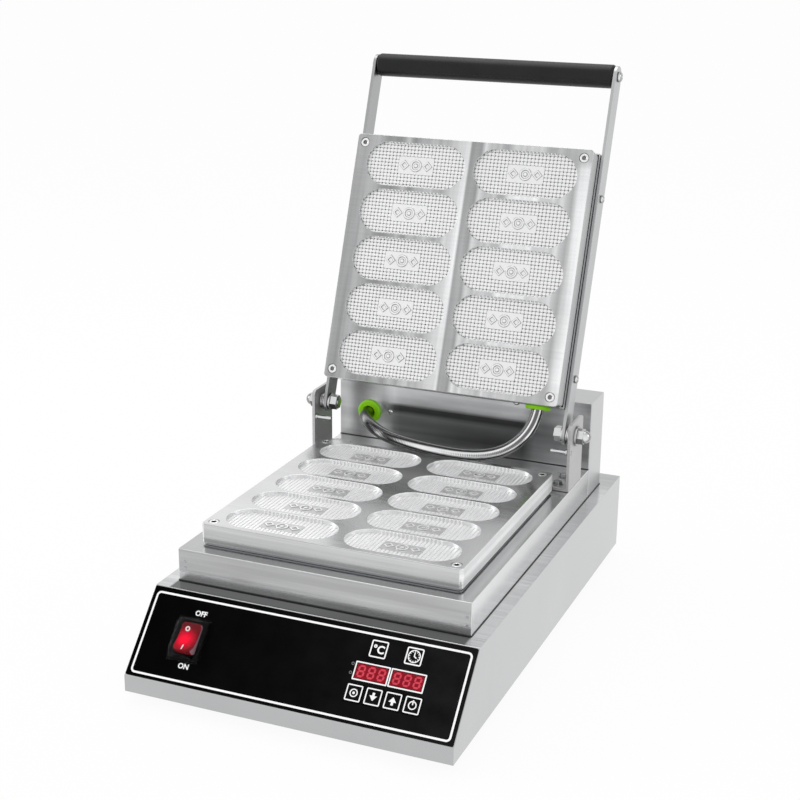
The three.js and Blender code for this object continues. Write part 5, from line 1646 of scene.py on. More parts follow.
    def wall_ribs(self, x: float, y: float) -> Skin:
        """The upright ribs on the straight walls: each stands further out at its foot than at its head."""
        reach = (self.cavity_length - self.cavity_width) / 2
        count = int(reach / self.grid_pitch)
        head = self.face + self.away * self.rib_head_depth
        skin = Skin()
        for side in (-1, 1):
            wall = y + side * self.cavity_width / 2
            root = wall + side * self.rib_root
            for place in x + (np.arange(-count, count) + 0.5) * self.grid_pitch:
                rings = [
                    [(place - half, root, z), (place + half, root, z), (place + half, wall - side * out, z),
                     (place - half, wall - side * out, z)]
                    for (half, out), z in ((self.rib_foot, self.floor), (self.rib_head, head))
                ]
                skin.grid(np.array(rings), around=True, ends=True)
        return skin

    def boss(self, x: float, y: float) -> Skin:
        """The smooth raised panel in the middle with a plain motif: a ring between two lozenges."""
        top = self.floor - self.away * self.panel_height
        low, high = sorted((self.floor + self.away * self.panel_root, top))
        skin = slab(*self.panel_size, self.panel_corner, low, high, self.panel_edge, x, y, 3)
        up = -float(self.away)
        place = Placing((x, y, top - up * self.motif_root), (1.0, 0.0, 0.0), (0.0, up, 0.0), (0.0, 0.0, up))
        skin.add(self.ring.skin(), place)
        skin.add(self.stud.skin(), place)
        for shift in (-self.lozenge_shift, self.lozenge_shift):
            skin.add(self.lozenge.skin(), place.holding(upward(shift, 0.0, 0.0)))
        return skin

    def cutters(self, back: float) -> Skin:
        """What is cut out of the plate: the cavities, and the seats and bores of the screws."""
        tools = Skin()
        for x, y in self.centres():
            tools.add(self.cavity(x, y))
        seat = self.face + self.away * self.screw_seat
        for x, y in self.screw_places():
            for radius, ends, sides in (
                (self.seat_radius, (seat, self.face - self.away * self.past), 32),
                (self.bore_radius, (back + self.away, seat - self.away), 24),
            ):
                low, high = sorted(ends)
                profile = [(0.0, low), (radius, low), (radius, high), (0.0, high)]
                tools.add(turned(profile, sides), upward(x, y, 0.0))
        return tools

    def make(self, finishes: Finishes) -> None:
        """Cuts the cavities and the screws' seats out of the plate, then sets in the grids and screws."""
        kit = finishes.lower if self.away < 0 else finishes.upper
        placing, body = self.placing, self.body
        back = self.face + self.away * SIZES.plate_thickness
        low, high = sorted((self.face, back))
        plate = slab(2 * SIZES.plate_half, SIZES.plate_rear - SIZES.plate_front, self.corner, low, high,
                     self.edge, 0.0, SIZES.plate_middle, 8)
        milled = combined(plate, self.cutters(back), "DIFFERENCE", placing)
        finished(self.name, milled, kit.face, body, self.node)
        grids, rooms, bosses, ribs = Skin(), Skin(), Skin(), Skin()
        for x, y in self.centres():
            grids.add(self.bumps(x, y))
            rooms.add(self.room(x, y))
            bosses.add(self.boss(x, y))
            ribs.add(self.wall_ribs(x, y))
        trimmed = combined(grids, rooms, "INTERSECT", placing)
        finished(f"{self.name}_grids", trimmed, kit.grid, body)
        for part, skin, material in (("panels", bosses, kit.panel), ("ribs", ribs, kit.grid)):
            made(f"{self.name}_{part}", skin, placing, material, body, sharp=math.radians(20))
        turn = upward if self.away < 0 else flipped
        for number, (x, y) in enumerate(self.screw_places(), 1):
            made(f"{self.name}_screw_{number}", self.screw.skin(), placing.holding(turn(x, y, self.face)),
                 kit.screw, body)


def combined(first: Skin, second: Skin, operation: str, placing: Placing) -> bpy.types.Mesh:
    """One solid less another, or what both fill, shaded flat where it is level with the placing.

    Args:
        first: the solid that is cut.
        second: the solid that cuts it.
        operation: DIFFERENCE or INTERSECT.
        placing: where both are drawn.

    Returns:
        The new mesh.
    """
    faceted = math.radians(5)
    body = linked("to_cut", mesh_of("to_cut", first, placing))
    tool = linked("cutter", mesh_of("cutter", second, placing))
    boolean = body.modifiers.new("cut", "BOOLEAN")
    boolean.operation = operation
    boolean.solver = "MANIFOLD"
    boolean.object = tool
    cut = bpy.data.meshes.new_from_object(body.evaluated_get(bpy.context.evaluated_depsgraph_get()))
    for item in (body, tool):
        bpy.data.objects.remove(item)
    work = bmesh.new()
    work.from_mesh(cut)
    smooth(work, SHARP_ANGLE if operation == "DIFFERENCE" else faceted, placing.out)
    return closed(work, cut)


@dataclass
class Lid:
    """The lid's housing, its two arms with their screws, and the handle."""

    edge: float = 1.0
    arm_length: float = 336.9
    arm_edge: float = 0.35
    arm_steps: int = 12
    arm_screw_places: tuple[tuple[str, float], ...] = (("front", 124.5), ("rear", 294.0))
    # Across and up on the closed lid
    rear_screw_place: Pair = (70.0, 152.0)
    rear_screw: Turning = Turning((
        (0.0, -4.0), (1.5, -4.0), (1.5, 0.0), (2.9, 0.0), (2.9, 0.9), (1.6, 1.9), (0.0, 1.9),
    ), 0.3)
    arm_screw: Turning = Turning((
        (0.0, -10.0), (2.5, -10.0), (2.5, 0.0), (3.8, 0.0), (3.8, 1.1), (3.0, 2.1), (1.9, 2.4), (1.5, 1.2),
        (0.0, 1.2),
    ), 0.4, 28)
    handle_screw: Turning = Turning((
        (0.0, -24.0), (2.6, -24.0), (2.6, 0.0), (5.0, 0.0), (5.0, 1.3), (3.9, 2.6), (2.0, 3.2), (1.6, 1.6),
        (0.0, 1.6),
    ), 0.5, 32)
    grip: Turning = Turning((
        (5.3, -119.7), (9.4, -119.7), (11.0, -117.9), (11.0, 117.9), (9.4, 119.7), (5.3, 119.7),
        (5.3, -119.7),
    ), 0.8, 56, 4)

    def part(self, name: str, skin: Skin, place: Placing, material: Material,
             slot: Slot = Slot.BRIGHT_STEEL, node: str = "") -> None:
        """Makes a piece of the lid, whose place is given with the lid closed."""
        made(name, skin, SIZES.opened.holding(place), material, Body.LID, node)

    def make(self, finishes: Finishes) -> None:
        """Builds the sub-assembly."""
        refined("lid_housing", "lid_cover", finishes.sheet, Body.LID, self.edge)
        out, height = SIZES.arm_outer + GAP, SIZES.hinge_height
        for name, side in SIDES:
            self.add_arm(name, side, finishes)
            self.part(f"grip_screw_{name}", self.handle_screw.skin(),
                      along_x(side * out, SIZES.handle_depth, height, side), finishes.bolt,
                      node=f"handle_screw_{name}")
            for place, y in self.arm_screw_places:
                self.part(f"lid_screw_{name}_{place}", self.arm_screw.skin(),
                          along_x(side * out, y, height, side), finishes.bolt,
                          node=f"arm_screw_{name}_{place}")
        self.part("black_grip", self.grip.skin(), along_x(0.0, SIZES.handle_depth, height), finishes.grip,
                  Slot.BLACK_PLASTIC, "handle_grip")
        dress("handle_rod", finishes.bar)
        x, z = self.rear_screw_place
        self.part("lid_rear_screw", self.rear_screw.skin(), along_y(x, SIZES.plate_rear, z), finishes.bolt)

    def add_arm(self, name: str, side: int, finishes: Finishes) -> None:
        """A flat bar with round ends, from the hinge to the handle."""
        width = SIZES.arm_width
        skin = slab(width, self.arm_length + width, width / 2, 0.0, SIZES.arm_outer - SIZES.arm_inner,
                    self.arm_edge, steps=self.arm_steps)
        middle = SIZES.hinge_depth - self.arm_length / 2
        out = float(side)
        origin = (side * SIZES.arm_inner, middle, SIZES.hinge_height)
        place = Placing(origin, (0.0, 0.0, out), (0.0, 1.0, 0.0), (out, 0.0, 0.0))
        self.part(f"flat_arm_{name}", skin, place, finishes.bar, Slot.STAINLESS, f"arm_{name}")


@dataclass
class Hinge:
    """The brackets, pivots, spacers and rest pins on both sides."""

    edge: float = 0.5
    shortest: float = 12.0
    shank: Turning = Turning(
        ((0.0, -20.9), (4.0, -20.9), (4.0, 0.3), (9.5, 0.3), (9.5, 2.1), (4.0, 2.1)), 0.3, 40,
    )
    acorn: Hexagon = Hexagon(7.5, 2.0, 8.1, 0.5)
    dome_radius: float = 6.2
    dome_foot: Pair = (7.6, 8.0)
    nut: Hexagon = Hexagon(7.5, -8.5, -1.4, 0.6)
    washer: Turning = Turning(((4.3, -1.5), (8.5, -1.5), (8.5, 0.0), (4.3, 0.0), (4.3, -1.5)), 0.3, 40)
    spacer: Turning = Turning((
        (4.3, 0.0), (8.5, 0.0), (8.5, 1.28), (6.5, 1.28), (6.5, 1.633), (8.5, 1.633), (8.5, 2.913),
        (6.5, 2.913), (6.5, 3.266), (8.5, 3.266), (8.5, 4.546), (4.3, 4.55), (4.3, 0.0),
    ), 0.2, 40, 2)
    pin: Turning = Turning((
        (0.0, -19.5), (1.9, -19.5), (1.9, -4.9), (3.0, -4.9), (3.0, -3.3), (1.9, -3.3), (1.9, 0.0),
        (0.0, 0.0),
    ), 0.4)
    # Back and up
    pin_place: Pair = (331.0, 140.5)
    bolt_head: Hexagon = Hexagon(4.2, 0.3, 3.4, 0.3)
    bolt_shank: Turning = Turning(((0.0, -8.0), (2.4, -8.0), (2.4, 0.4), (5.0, 0.4), (5.0, 0.9), (0.0, 0.9)))
    bolt_depths: tuple[float, ...] = (337.5, 358.5)
    # Across and up
    bolt_place: Pair = (118.25, 105.8)

    def make(self, finishes: Finishes) -> None:
        """Builds the sub-assembly."""
        out, foot = self.bolt_place
        for name, side in SIDES:
            refined(f"bracket_{name}", f"hinge_bracket_{name}", finishes.bracket, Body.BASE,
                    self.edge, self.shortest, 2)
            outer = side * SIZES.bracket_outer
            parts = (
                (f"acorn_bolt_{name}", self.pivot(), self.on_axis(side, outer), f"pivot_bolt_{name}"),
                (f"hinge_nut_{name}", self.nut.skin().add(self.washer.skin()),
                 self.on_axis(side, side * SIZES.lid_half), f"pivot_nut_{name}"),
                (f"hinge_spacer_{name}", self.spacer.skin(),
                 self.on_axis(side, side * (SIZES.arm_outer + GAP)), f"pivot_spacer_{name}"),
                (f"stop_pin_{name}", self.pin.skin(), along_x(outer, *self.pin_place, side),
                 f"rest_pin_{name}"),
                *((f"bracket_bolt_{name}_{number}", self.bolt_head.skin().add(self.bolt_shank.skin()),
                   upward(side * out, y, foot), "") for number, y in enumerate(self.bolt_depths, 1)),
            )
            for label, skin, place, node in parts:
                made(label, skin, place, finishes.bolt, Body.BASE, node)

    @staticmethod
    def on_axis(side: int, x: float) -> Placing:
        """A placing on the hinge's axis, looking outwards."""
        return along_x(x, SIZES.hinge_depth, SIZES.hinge_height, side)

    def pivot(self) -> Skin:
        """The pivot bolt with its washer and its acorn head: a hexagon under a dome."""
        foot, middle = self.dome_foot
        r = self.dome_radius
        dome = [(r * math.cos(a), middle + r * math.sin(a)) for a in arc(0, 90, 8)]
        bolt = self.shank.skin().add(self.acorn.skin())
        return bolt.add(turned([(0.0, foot), (r, foot), *dome], 36))


@dataclass
class RearBox:
    """The box behind the tray, with its small screw and the terminal block inside."""

    edge: float = 0.9
    # Across and up
    screw_place: Pair = (-75.8, 132.8)
    screw: Turning = Turning((
        (0.0, -9.7), (1.5, -9.7), (1.5, 0.3), (2.6, 0.3), (2.6, 1.1), (1.3, 1.9), (0.0, 1.9),
    ), 0.3)

    def make(self, finishes: Finishes) -> None:
        """Builds the sub-assembly."""
        refined("rear_box", "wiring_box", finishes.box, Body.BASE, self.edge)
        x, z = self.screw_place
        made("small_box_screw", self.screw.skin(), along_y(x, SIZES.tray_rear, z, -1), finishes.bolt,
             Body.BASE, "box_screw")
        dress("terminal_block", finishes.ceramic)


@dataclass
class ControlPanel:
    """The printed front film with its switch, displays and keys; places are across and up the slope."""

    film_top: float = 0.8
    # How far prints stand out of their surface
    print_rise: float = 0.08
    line_steps: int = 5
    # Width, height, corner and thickness of the border's line
    border: tuple[float, float, float, float] = (282.0, 71.6, 4.0, 1.7)
    border_place: Pair = (0.3, 39.2)
    display: Pair = (27.4, 13.0)
    display_places: Pair = (64.4, 94.8)
    display_up: float = 43.0
    display_top: float = 1.2
    # Corner, thickness and rise of the white line round a display and of the black line inside it, painted
    # shadow at its edge
    display_line: Point = (0.6, 1.05, 0.5)
    display_margin: float = 2.2
    display_shadow_line: Point = (0.3, 0.45, 0.05)
    digit_shift: float = 8.6
    digit_lean: float = 0.08
    digit_thick: float = 0.78
    digit_rise: float = 0.1
    # Half the length of a digit's level and upright bars, and the bars' middles
    bar_level: float = 2.3
    bar_upright: float = 1.9
    level_bars: tuple[Pair, ...] = ((0.0, 4.2), (0.0, 0.0), (0.0, -4.2))
    upright_bars: tuple[Pair, ...] = ((-2.35, 2.1), (2.35, 2.1), (-2.35, -2.1), (2.35, -2.1))
    icon: tuple[float, float, float, float] = (14.2, 14.2, 1.4, 1.1)
    icon_up: float = 63.0
    icon_places: tuple[tuple[str, float], ...] = (("degrees", 64.8), ("clock", 94.9))
    degrees_size: float = 9.0
    lamp_rings: Pair = (1.3, 0.7)
    lamp_across: float = 47.2
    lamp_ups: Pair = (47.9, 40.5)
    key: tuple[float, float, float, float] = (13.3, 13.3, 1.1, 1.0)
    key_places: tuple[float, ...] = (54.9, 71.4, 87.9, 104.4)
    key_up: float = 25.0
    key_rise: float = 0.7
    # The signs on the keys: two rings, a dot, a bar, and an arrow's head and shaft
    dot_ring: Pair = (3.4, 2.5)
    bar_ring: Pair = (3.5, 2.6)
    dot_radius: float = 1.1
    dot_sides: int = 20
    ring_bar: Profile = ((-0.5, 0.3), (0.5, 0.3), (0.5, 4.2), (-0.5, 4.2))
    arrow_head: Profile = ((-3.2, -0.9), (3.2, -0.9), (0.0, 3.2))
    arrow_shaft: Profile = ((-1.0, -3.4), (1.0, -3.4), (1.0, -0.6), (-1.0, -0.6))
    word_size: float = 6.2
    words: tuple[tuple[str, Point], ...] = (("OFF", (-94.8, 62.4, 0.8)), ("ON", (-95.2, 17.0, 0.8)))
    switch: Pair = (-97.5, 39.0)
    switch_edge: float = 0.5
    switch_shortest: float = 12.0
    rocker_axis: float = -1.0
    rocker_tilt: float = -10.0
    rocker_half: float = 9.0
    rocker_end: float = 12.8
    rocker_heights: Pair = (6.0, 8.0)
    rocker_shoulder: float = 0.8
    rocker_round: float = 2.6
    rocker_foot: Profile = ((-8.0, -5.0), (8.0, -5.0), (12.8, 1.4))
    mark_up: float = 7.2
    mark_ring: Pair = (2.1, 1.15)
    mark_ring_place: Point = (-3.0, 7.2, 0.0)
    mark_rise: float = 0.15
    mark_bar: Pair = (0.45, 2.2)
    mark_bar_place: Point = (-0.7, -9.6, 0.6)
    cover: Pair = (29.6, 37.6)
    cover_wall: float = 0.9
    cover_height: float = 10.4
    # The cover's corner at its foot, how much it grows with the inset, up to which inset, and at most
    cover_corner: tuple[float, float, float, float] = (1.6, 1.6, 3.0, 7.0)
    cover_steps: int = 8
    # Insets and heights over the film: outside up to the round, and inside down from it
    cover_outside: Profile = ((0.0, 0.0), (0.0, 1.6), (0.3, 2.0), (1.5, 2.2), (2.0, 2.6), (2.2, 6.0))
    cover_inside: Profile = ((3.1, 2.0), (1.6, 1.2), (1.6, 0.0))
    cover_top: Pair = (9.0, 13.0)
    cover_rounds: Pair = (3.4, 2.6)
    cover_side: float = 2.2

    def piece(self, name: str, skin: Skin, material: Material, slot: Slot = Slot.FILM,
              body: Body = Body.BASE, node: str = "") -> None:
        """Places a skin drawn on the panel and makes it a piece."""
        made(name, skin, SIZES.panel, material, body, node)

    def frame_line(self, size: tuple[float, float, float, float], place: Point, rise: float = 0.08) -> Skin:
        """A printed line round a rectangle: an outer and an inner outline, a little raised.

        Args:
            size: the rectangle's width, height and corner, and the line's thickness.
            place: its middle, and the height that it lies at.
            rise: how far it is raised.

        Returns:
            The line's skin.
        """
        width, height, corner, thick = size
        x, y, z = place
        least = 0.2
        outer = rounded(width, height, corner, self.line_steps, x, y)
        inner_corner = max(corner - thick, least)
        inner = rounded(width - 2 * thick, height - 2 * thick, inner_corner, self.line_steps, x, y)
        levels = ((outer, z), (outer, z + rise), (inner, z + rise), (inner, z))
        return Skin().grid(np.array([at_height(*level) for level in levels]), around=True, closed=True)

    def make(self, finishes: Finishes) -> None:
        """Builds the sub-assembly."""
        dress("panel_film", finishes.film)
        border = self.frame_line(self.border, (*self.border_place, self.film_top))
        self.piece("border_print", border, finishes.print)
        self.add_displays(finishes)
        self.add_keys(finishes)
        self.add_switch(finishes)
        self.add_icons(finishes)
        dress("control_board", finishes.board)
        dress("power_board", finishes.board)

    def add_displays(self, finishes: Finishes) -> None:
        """Two red windows with three unlit digits each, a white line round each, and a black line inside each
        as painted shadow.
        """
        width, height = self.display
        corner, thick, rise = self.display_line
        inner_corner, inner_thick, inner_rise = self.display_shadow_line
        for node, x in zip(("temperature_display", "timer_display"), self.display_places, strict=True):
            dress(node, finishes.filter)
            digits = Skin()
            for place in (-self.digit_shift, 0.0, self.digit_shift):
                digits.add(self.digit(), upward(x + place, self.display_up, self.display_top))
            self.piece(f"{node}_digits", digits, finishes.segment, Slot.DISPLAY)
            outside = (width + self.display_margin, height + self.display_margin, corner, thick)
            line = self.frame_line(outside, (x, self.display_up, self.film_top), rise)
            self.piece(f"{node}_line", line, finishes.print)
            # A black line inside the window: painted shadow at its edge
            inside = (width, height, inner_corner, inner_thick)
            edge = self.frame_line(inside, (x, self.display_up, self.display_top), inner_rise)
            self.piece(f"{node}_edge", edge, finishes.key)

    def digit(self) -> Skin:
        """The seven bars of one digit, each a thin plate with pointed ends, leaning a little."""
        skin = Skin()
        thick = self.digit_thick
        for bars, reach, upright in ((self.level_bars, self.bar_level, False),
                                     (self.upright_bars, self.bar_upright, True)):
            points = np.array([
                (-reach, 0.0), (-reach + thick, -thick), (reach - thick, -thick), (reach, 0.0),
                (reach - thick, thick), (-reach + thick, thick),
            ])
            points = points[:, ::-1] * (1, -1) if upright else points
            for middle in bars:
                bar = points + middle
                bar[:, 0] += self.digit_lean * bar[:, 1]
                skin.add(plate_of(bar, self.digit_rise), upward(0.0, 0.0, -self.digit_rise / 2))
        return skin

    def add_keys(self, finishes: Finishes) -> None:
        """Four square keys with a white line round each and a plain sign on it."""
        bodies = (Body.KEY_1, Body.KEY_2, Body.KEY_3, Body.KEY_4)
        for number, (x, body) in enumerate(zip(self.key_places, bodies, strict=True), 1):
            dress(f"button_{number}", finishes.key)
            place = (x, self.key_up, self.film_top + self.key_rise)
            line = self.frame_line(self.key, place).add(self.sign(number), upward(*place))
            self.piece(f"key_{number}_print", line, finishes.print, Slot.KEY, body)

    def sign(self, number: int) -> Skin:
        """The plain sign on a key: a dot in a ring, an arrow down, an arrow up, or a bar in a ring."""
        rise = self.print_rise
        if number == 1:
            return ringed(*self.dot_ring, rise).add(plate_of(circle(self.dot_radius, self.dot_sides), rise))
        if number == 4:
            return ringed(*self.bar_ring, rise).add(plate_of(self.ring_bar, rise))
        way = (1, 1 if number == 3 else -1)
        head, shaft = (plate_of(np.array(shape) * way, rise) for shape in (self.arrow_head, self.arrow_shaft))
        return head.add(shaft)

    def add_switch(self, finishes: Finishes) -> None:
        """The rocker under its clear cover, with the black bezel and body, and the words beside it."""
        refined("switch_body", "switch_housing", finishes.switch, Body.BASE,
                self.switch_edge, self.switch_shortest, 2)
        self.add_rocker(finishes)
        self.piece("clear_switch_cover", self.cover_skin(), finishes.clear, Slot.CLEAR, node="switch_boot")
        for text, place in self.words:
            lettering(f"word_{text.lower()}", text, self.word_size, place, finishes.print)

    def add_rocker(self, finishes: Finishes) -> None:
        """A rocker whose top is a shallow valley: height low + (high - low)(y / end)^2 along it."""
        placing = SIZES.panel.holding(leant((*self.switch, self.rocker_axis), math.radians(self.rocker_tilt)))
        end = self.rocker_end
        low, high = self.rocker_heights
        shoulder = high - self.rocker_shoulder
        y = np.linspace(-end, end, 25)
        top = low + (high - low) * (y / end) ** 2
        foot = self.rocker_foot
        outline = np.array([
            *foot, (end, shoulder), *zip(y[-2:0:-1], top[-2:0:-1], strict=True), (-end, shoulder),
            (-end, foot[-1][1]),
        ])
        middle = outline.mean(0)
        rings = []
        for inset, x in edged(-self.rocker_half, self.rocker_half, self.rocker_round, 5):
            shrunk = middle + (outline - middle) * (1 - inset / end)
            rings.append(np.column_stack([np.full(len(outline), x), shrunk]))
        skin = Skin().grid(np.array(rings), around=True, ends=True)
        made("red_rocker", skin, placing, finishes.rocker, Body.ROCKER, "rocker")
        lean = 2 * (high - low) * self.mark_up / end ** 2
        height = low + (high - low) * (self.mark_up / end) ** 2
        half, reach = self.mark_bar
        bar = plate_of([(-half, -reach), (half, -reach), (half, reach), (-half, reach)], self.mark_rise)
        marks = Skin()
        ring = ringed(*self.mark_ring, self.mark_rise)
        for mark, (x, up, rise), slope in (
            (ring, self.mark_ring_place, lean), (bar, self.mark_bar_place, -lean),
        ):
            marks.add(mark, Placing((x, up, height + rise), along=(0.0, 1.0, slope)))
        made("rocker_marks", marks, placing, finishes.print, Body.ROCKER)

    def cover_skin(self) -> Skin:
        """The clear cover: a flanged, rounded cap with a thin wall."""
        x, y = self.switch
        foot = self.film_top + GAP
        width, depth = self.cover
        corner, growth, until, most = self.cover_corner

        def outline(inset: float) -> np.ndarray:
            """The cover's outline pulled in by inset, rounder where it is higher."""
            grown = min(corner + min(inset, until) * growth, most)
            return rounded(width - 2 * inset, depth - 2 * inset, grown, self.cover_steps, x, y)

        def round_over(side: float, top: float, radius: float,
                       angles: np.ndarray) -> list[Pair]:
            """A quarter turn from the wall to the top: inset side + r(1 - cos), height top - r(1 - sin)."""
            return [(side + radius * (1 - math.cos(a)), top - radius * (1 - math.sin(a))) for a in angles]

        wall = self.cover_wall
        top = foot + self.cover_height
        near, far = self.cover_top
        outer_round, inner_round = self.cover_rounds
        outside = [(inset, foot + height) for inset, height in self.cover_outside]
        outside += round_over(self.cover_side, top, outer_round, arc(10, 90, 6))
        outside += [(near, top), (far, top)]
        inside = [(far, top - wall), (near, top - wall)]
        inside += round_over(self.cover_side + wall, top - wall, inner_round, arc(90, 10, 6))
        inside += [(inset, foot + height) for inset, height in self.cover_inside]
        rings = np.array([at_height(outline(inset), height) for inset, height in (*outside, *inside)])
        skin = Skin().grid(rings, around=True)
        count = rings.shape[1]
        # The two tops get a face each in place of the band of quads that joins them
        band = (len(outside) - 1) * count
        skin.faces = skin.faces[:band] + skin.faces[band + count:]
        skin.faces += [list(range(start, start + count)) for start in (band, band + count)]
        last = skin.count - count
        skin.faces += [[i, (i + 1) % count, last + (i + 1) % count, last + i] for i in range(count)]
        return skin

    def add_icons(self, finishes: Finishes) -> None:
        """A degree sign and a clock face in white frames above the displays, and two faint lamp rings."""
        for name, x in self.icon_places:
            place = (x, self.icon_up, self.film_top)
            skin = self.frame_line(self.icon, place)
            if name == "clock":
                skin.add(self.clock_face(), upward(*place))
            self.piece(f"{name}_print", skin, finishes.print)
        x = self.icon_places[0][1]
        lettering("degrees_sign", "°C", self.degrees_size, (x, self.icon_up, self.film_top), finishes.print)
        for number, y in enumerate(self.lamp_ups, 1):
            ring = ringed(*self.lamp_rings, self.print_rise)
            skin = Skin().add(ring, upward(self.lamp_across, y, self.film_top))
            self.piece(f"lamp_{number}", skin, finishes.faint_print)

    def clock_face(self) -> Skin:
        """A ring, twelve ticks and two hands."""
        outer, inner = 5.3, 4.5
        tick, long_hand, short_hand = (3.5, 4.6, 0.6), (-0.4, 3.3, 0.9), (-0.4, 2.4, 1.0)
        skin = ringed(outer, inner, self.print_rise, sides=36)

        def stroke(angle: float, start: float, end: float, width: float) -> None:
            """A straight mark from start to end along a direction."""
            way = np.array([math.sin(angle), math.cos(angle)])
            side = np.array([way[1], -way[0]]) * width / 2
            corners = [way * start - side, way * start + side, way * end + side, way * end - side]
            skin.add(plate_of(corners, self.print_rise))

        for hour in range(12):
            stroke(hour * FULL_TURN / 12, *tick)
        stroke(0.0, *long_hand)
        stroke(FULL_TURN / 3, *short_hand)
        return skin


def lettering(name: str, text: str, size: float, place: Point, material: Material) -> None:
    """Plain printed letters, a little raised, centred on a place of the panel.

    Args:
        name: the piece's name.
        text: what it says.
        size: the letters' size in millimetres.
        place: the middle of the words on the panel.
        material: the print's finish.
    """
    half_rise, swell = 0.04, 0.03
    curve = bpy.data.curves.new(name, "FONT")
    curve.body = text
    curve.size = size
    curve.align_x = "CENTER"
    curve.align_y = "CENTER"
    curve.extrude = half_rise
    curve.offset = size * swell
    curve.resolution_u = 3
    letters = linked(f"{name}_curve", curve)
    mesh = bpy.data.meshes.new_from_object(letters.evaluated_get(bpy.context.evaluated_depsgraph_get()))
    bpy.data.objects.remove(letters)
    points = np.zeros(len(mesh.vertices) * 3)
    mesh.vertices.foreach_get("co", points)
    points = points.reshape(-1, 3)
    points = points - (points.min(0) + points.max(0)) / 2 + np.asarray(place) + (0.0, 0.0, half_rise)
    mesh.vertices.foreach_set("co", in_row(SIZES.panel.place(points)).ravel())
    work = merged(mesh)
    bmesh.ops.recalc_face_normals(work, faces=work.faces)
    finished(name, closed(work, mesh), material, Body.BASE)


def dress_insides(finishes: Finishes) -> None:
    """Dresses the heaters, clamps, insulation and sensors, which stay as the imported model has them."""
    parts = (("heater", finishes.sheath), ("heater_clamp", finishes.zinc), ("insulation", finishes.wool),
             ("sensor", finishes.bolt))
    for where in ("lower", "upper"):
        for part, material in parts:
            dress(f"{where}_{part}", material)


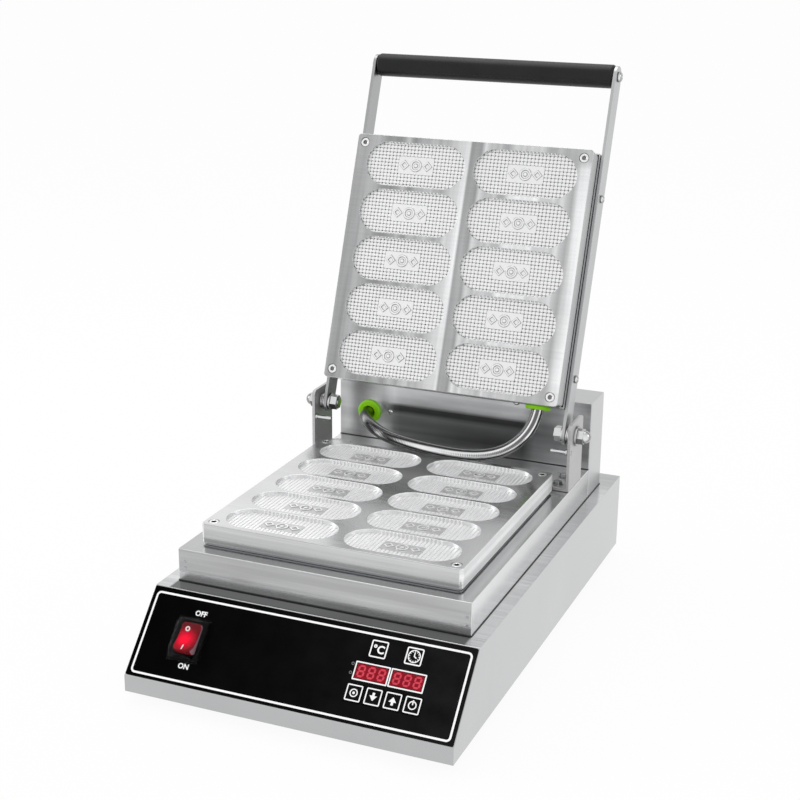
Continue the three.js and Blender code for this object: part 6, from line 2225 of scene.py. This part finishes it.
@dataclass
class Studio:
    """A plain pale floor, soft lights and the camera of the photograph."""

    azimuth: float = 22.61
    elevation: float = 17.92
    roll: float = 0.57
    distance: float = 1325.0
    target: Point = (15.0, 200.0, 215.0)
    focal_pixels: float = 1543.0
    image_width: float = 800.0
    sensor: float = 36.0
    clip_start: float = 0.05
    floor_colour: Colour = (0.88, 0.88, 0.88)
    floor_reach: float = 20.0
    floor_white: float = 0.93
    floor_roughness: float = 0.8
    # How bright the studio's walls and ceiling are, by the height that one looks at: 0 level, 1 straight up
    wall_tones: Profile = ((0.0, 0.98), (0.3, 0.99), (0.45, 0.97), (0.65, 0.9), (0.85, 0.8), (1.0, 0.6))
    # The way to the brighter side, and how that brightness grows along it
    bright_way: Point = (-0.5, 0.87, 0.0)
    side_range: Pair = (-0.9, 0.4)
    side_tones: Pair = (0.92, 1.04)
    # The soft boxes: name, place in metres, width and height, and power
    lamps: tuple[tuple[str, Point, Pair, float], ...] = (
        ("overhead_softbox", (-0.3, 0.45, 1.8), (1.2, 1.2), 8.0),
        ("left_softbox", (-1.9, -0.5, 0.9), (1.0, 1.0), 5.0),
        ("right_softbox", (2.2, 0.2, 1.2), (0.9, 0.9), 3.0),
    )

    def make_camera(self) -> None:
        """Sets the camera: it looks from the target back along its azimuth and elevation, then rolls."""
        a, e, turn = (math.radians(v) for v in (self.azimuth, self.elevation, self.roll))
        back = Vector((math.sin(a) * math.cos(e), -math.cos(a) * math.cos(e), math.sin(e)))
        right = Vector((math.cos(a), math.sin(a), 0.0))
        up = back.cross(right)
        across = right * math.cos(turn) + up * math.sin(turn)
        upright = up * math.cos(turn) - right * math.sin(turn)
        data = bpy.data.cameras.new("photograph_view")
        data.sensor_width = self.sensor
        data.lens = self.sensor * self.focal_pixels / self.image_width
        data.clip_start = self.clip_start
        camera = linked("photograph_view", data)
        place = Vector(in_row(self.target)) + back * self.distance * MM
        turned_to = Matrix((across, upright, back)).transposed().to_4x4()
        camera.matrix_world = Matrix.Translation(place) @ turned_to
        bpy.context.scene.camera = camera

    def make_floor(self) -> None:
        """A wide white floor, a share of which shines evenly for the camera and in what mirrors it."""
        mesh = bpy.data.meshes.new("floor")
        corners = [(sx * self.floor_reach, sy * self.floor_reach, 0.0) for sx, sy in CORNERS]
        mesh.from_pydata(corners, [], [(0, 1, 2, 3)])
        wiring = Wiring("white_floor")
        colour = (*self.floor_colour, 1.0)
        wiring.set(Base_Color=colour, Roughness=self.floor_roughness, Specular_IOR_Level=0.0)
        rays = added(wiring.tree, "LightPath").outputs
        seen = rays["Is Camera Ray"]
        for label in ("Is Glossy Ray", "Is Transmission Ray"):
            seen = wiring.add("Math", 0, {0: seen, 1: rays[label]}, operation="MAXIMUM")
        share = wiring.add("Math", 0, {0: seen, 1: self.floor_white}, operation="MULTIPLY")
        glow = wiring.add("Emission", 0, {"Strength": 1.0})
        mixed = wiring.add("MixShader", 0, {0: share, 1: wiring.shader.outputs[0], 2: glow})
        wiring.tree.links.new(mixed, wiring.tree.nodes["Material Output"].inputs["Surface"])
        mesh.materials.append(wiring.material)
        linked("floor", mesh)

    def make_world(self) -> None:
        """A world that is pale around and darker overhead, and brighter behind and left than in front."""
        world = bpy.data.worlds.new("soft_studio")
        bpy.context.scene.world = world
        world.use_nodes = True
        tree = world.node_tree
        way = added(tree, "TexCoord").outputs["Generated"]
        ramp = added(tree, "ValToRGB", {"Fac": added(tree, "SeparateXYZ", {0: way}).outputs["Z"]})
        stopped(ramp, self.wall_tones)
        turn = added(tree, "VectorMath", {0: way, 1: self.bright_way}, operation="DOT_PRODUCT")
        labels = ("Value", "From Min", "From Max", "To Min", "To Max")
        values = (turn.outputs["Value"], *self.side_range, *self.side_tones)
        side = added(tree, "MapRange", dict(zip(labels, values, strict=True)))
        inputs = {0: ramp.outputs["Color"], "Scale": side.outputs["Result"]}
        tinted = added(tree, "VectorMath", inputs, operation="SCALE")
        tree.links.new(tinted.outputs["Vector"], tree.nodes["Background"].inputs["Color"])

    def make_lamps(self) -> None:
        """Soft boxes: one overhead and one on each side."""
        aim = Vector(in_row(self.target))
        for name, place, (width, height), power in self.lamps:
            data = bpy.data.lights.new(name, "AREA")
            data.shape = "RECTANGLE"
            data.size = width
            data.size_y = height
            data.energy = power
            lamp = linked(name, data)
            lamp.location = place
            lamp.rotation_euler = (aim - Vector(place)).to_track_quat("-Z", "Y").to_euler()


def main() -> None:
    """Builds the studio and every sub-assembly in order."""
    logging.basicConfig(level=logging.INFO, format="%(name)s: %(message)s")
    bpy.context.scene.view_settings.view_transform = "Standard"
    studio = Studio()
    studio.make_camera()
    finishes = Finishes()
    Hose().make(finishes)
    studio.make_floor()
    studio.make_world()
    studio.make_lamps()
    lid_face = SIZES.plate_face + SIZES.closed_gap
    assemblies = (
        Base(), Tray(), RearBox(),
        BakingPlate("lower_milled_plate", "lower_baking_plate", Body.BASE, SIZES.plate_face, -1),
        BakingPlate("upper_milled_plate", "upper_baking_plate", Body.LID, lid_face, 1),
        Lid(), Hinge(), ControlPanel(),
    )
    for assembly in assemblies:
        assembly.make(finishes)
    dress_insides(finishes)


if __name__ == "__main__":
    main()
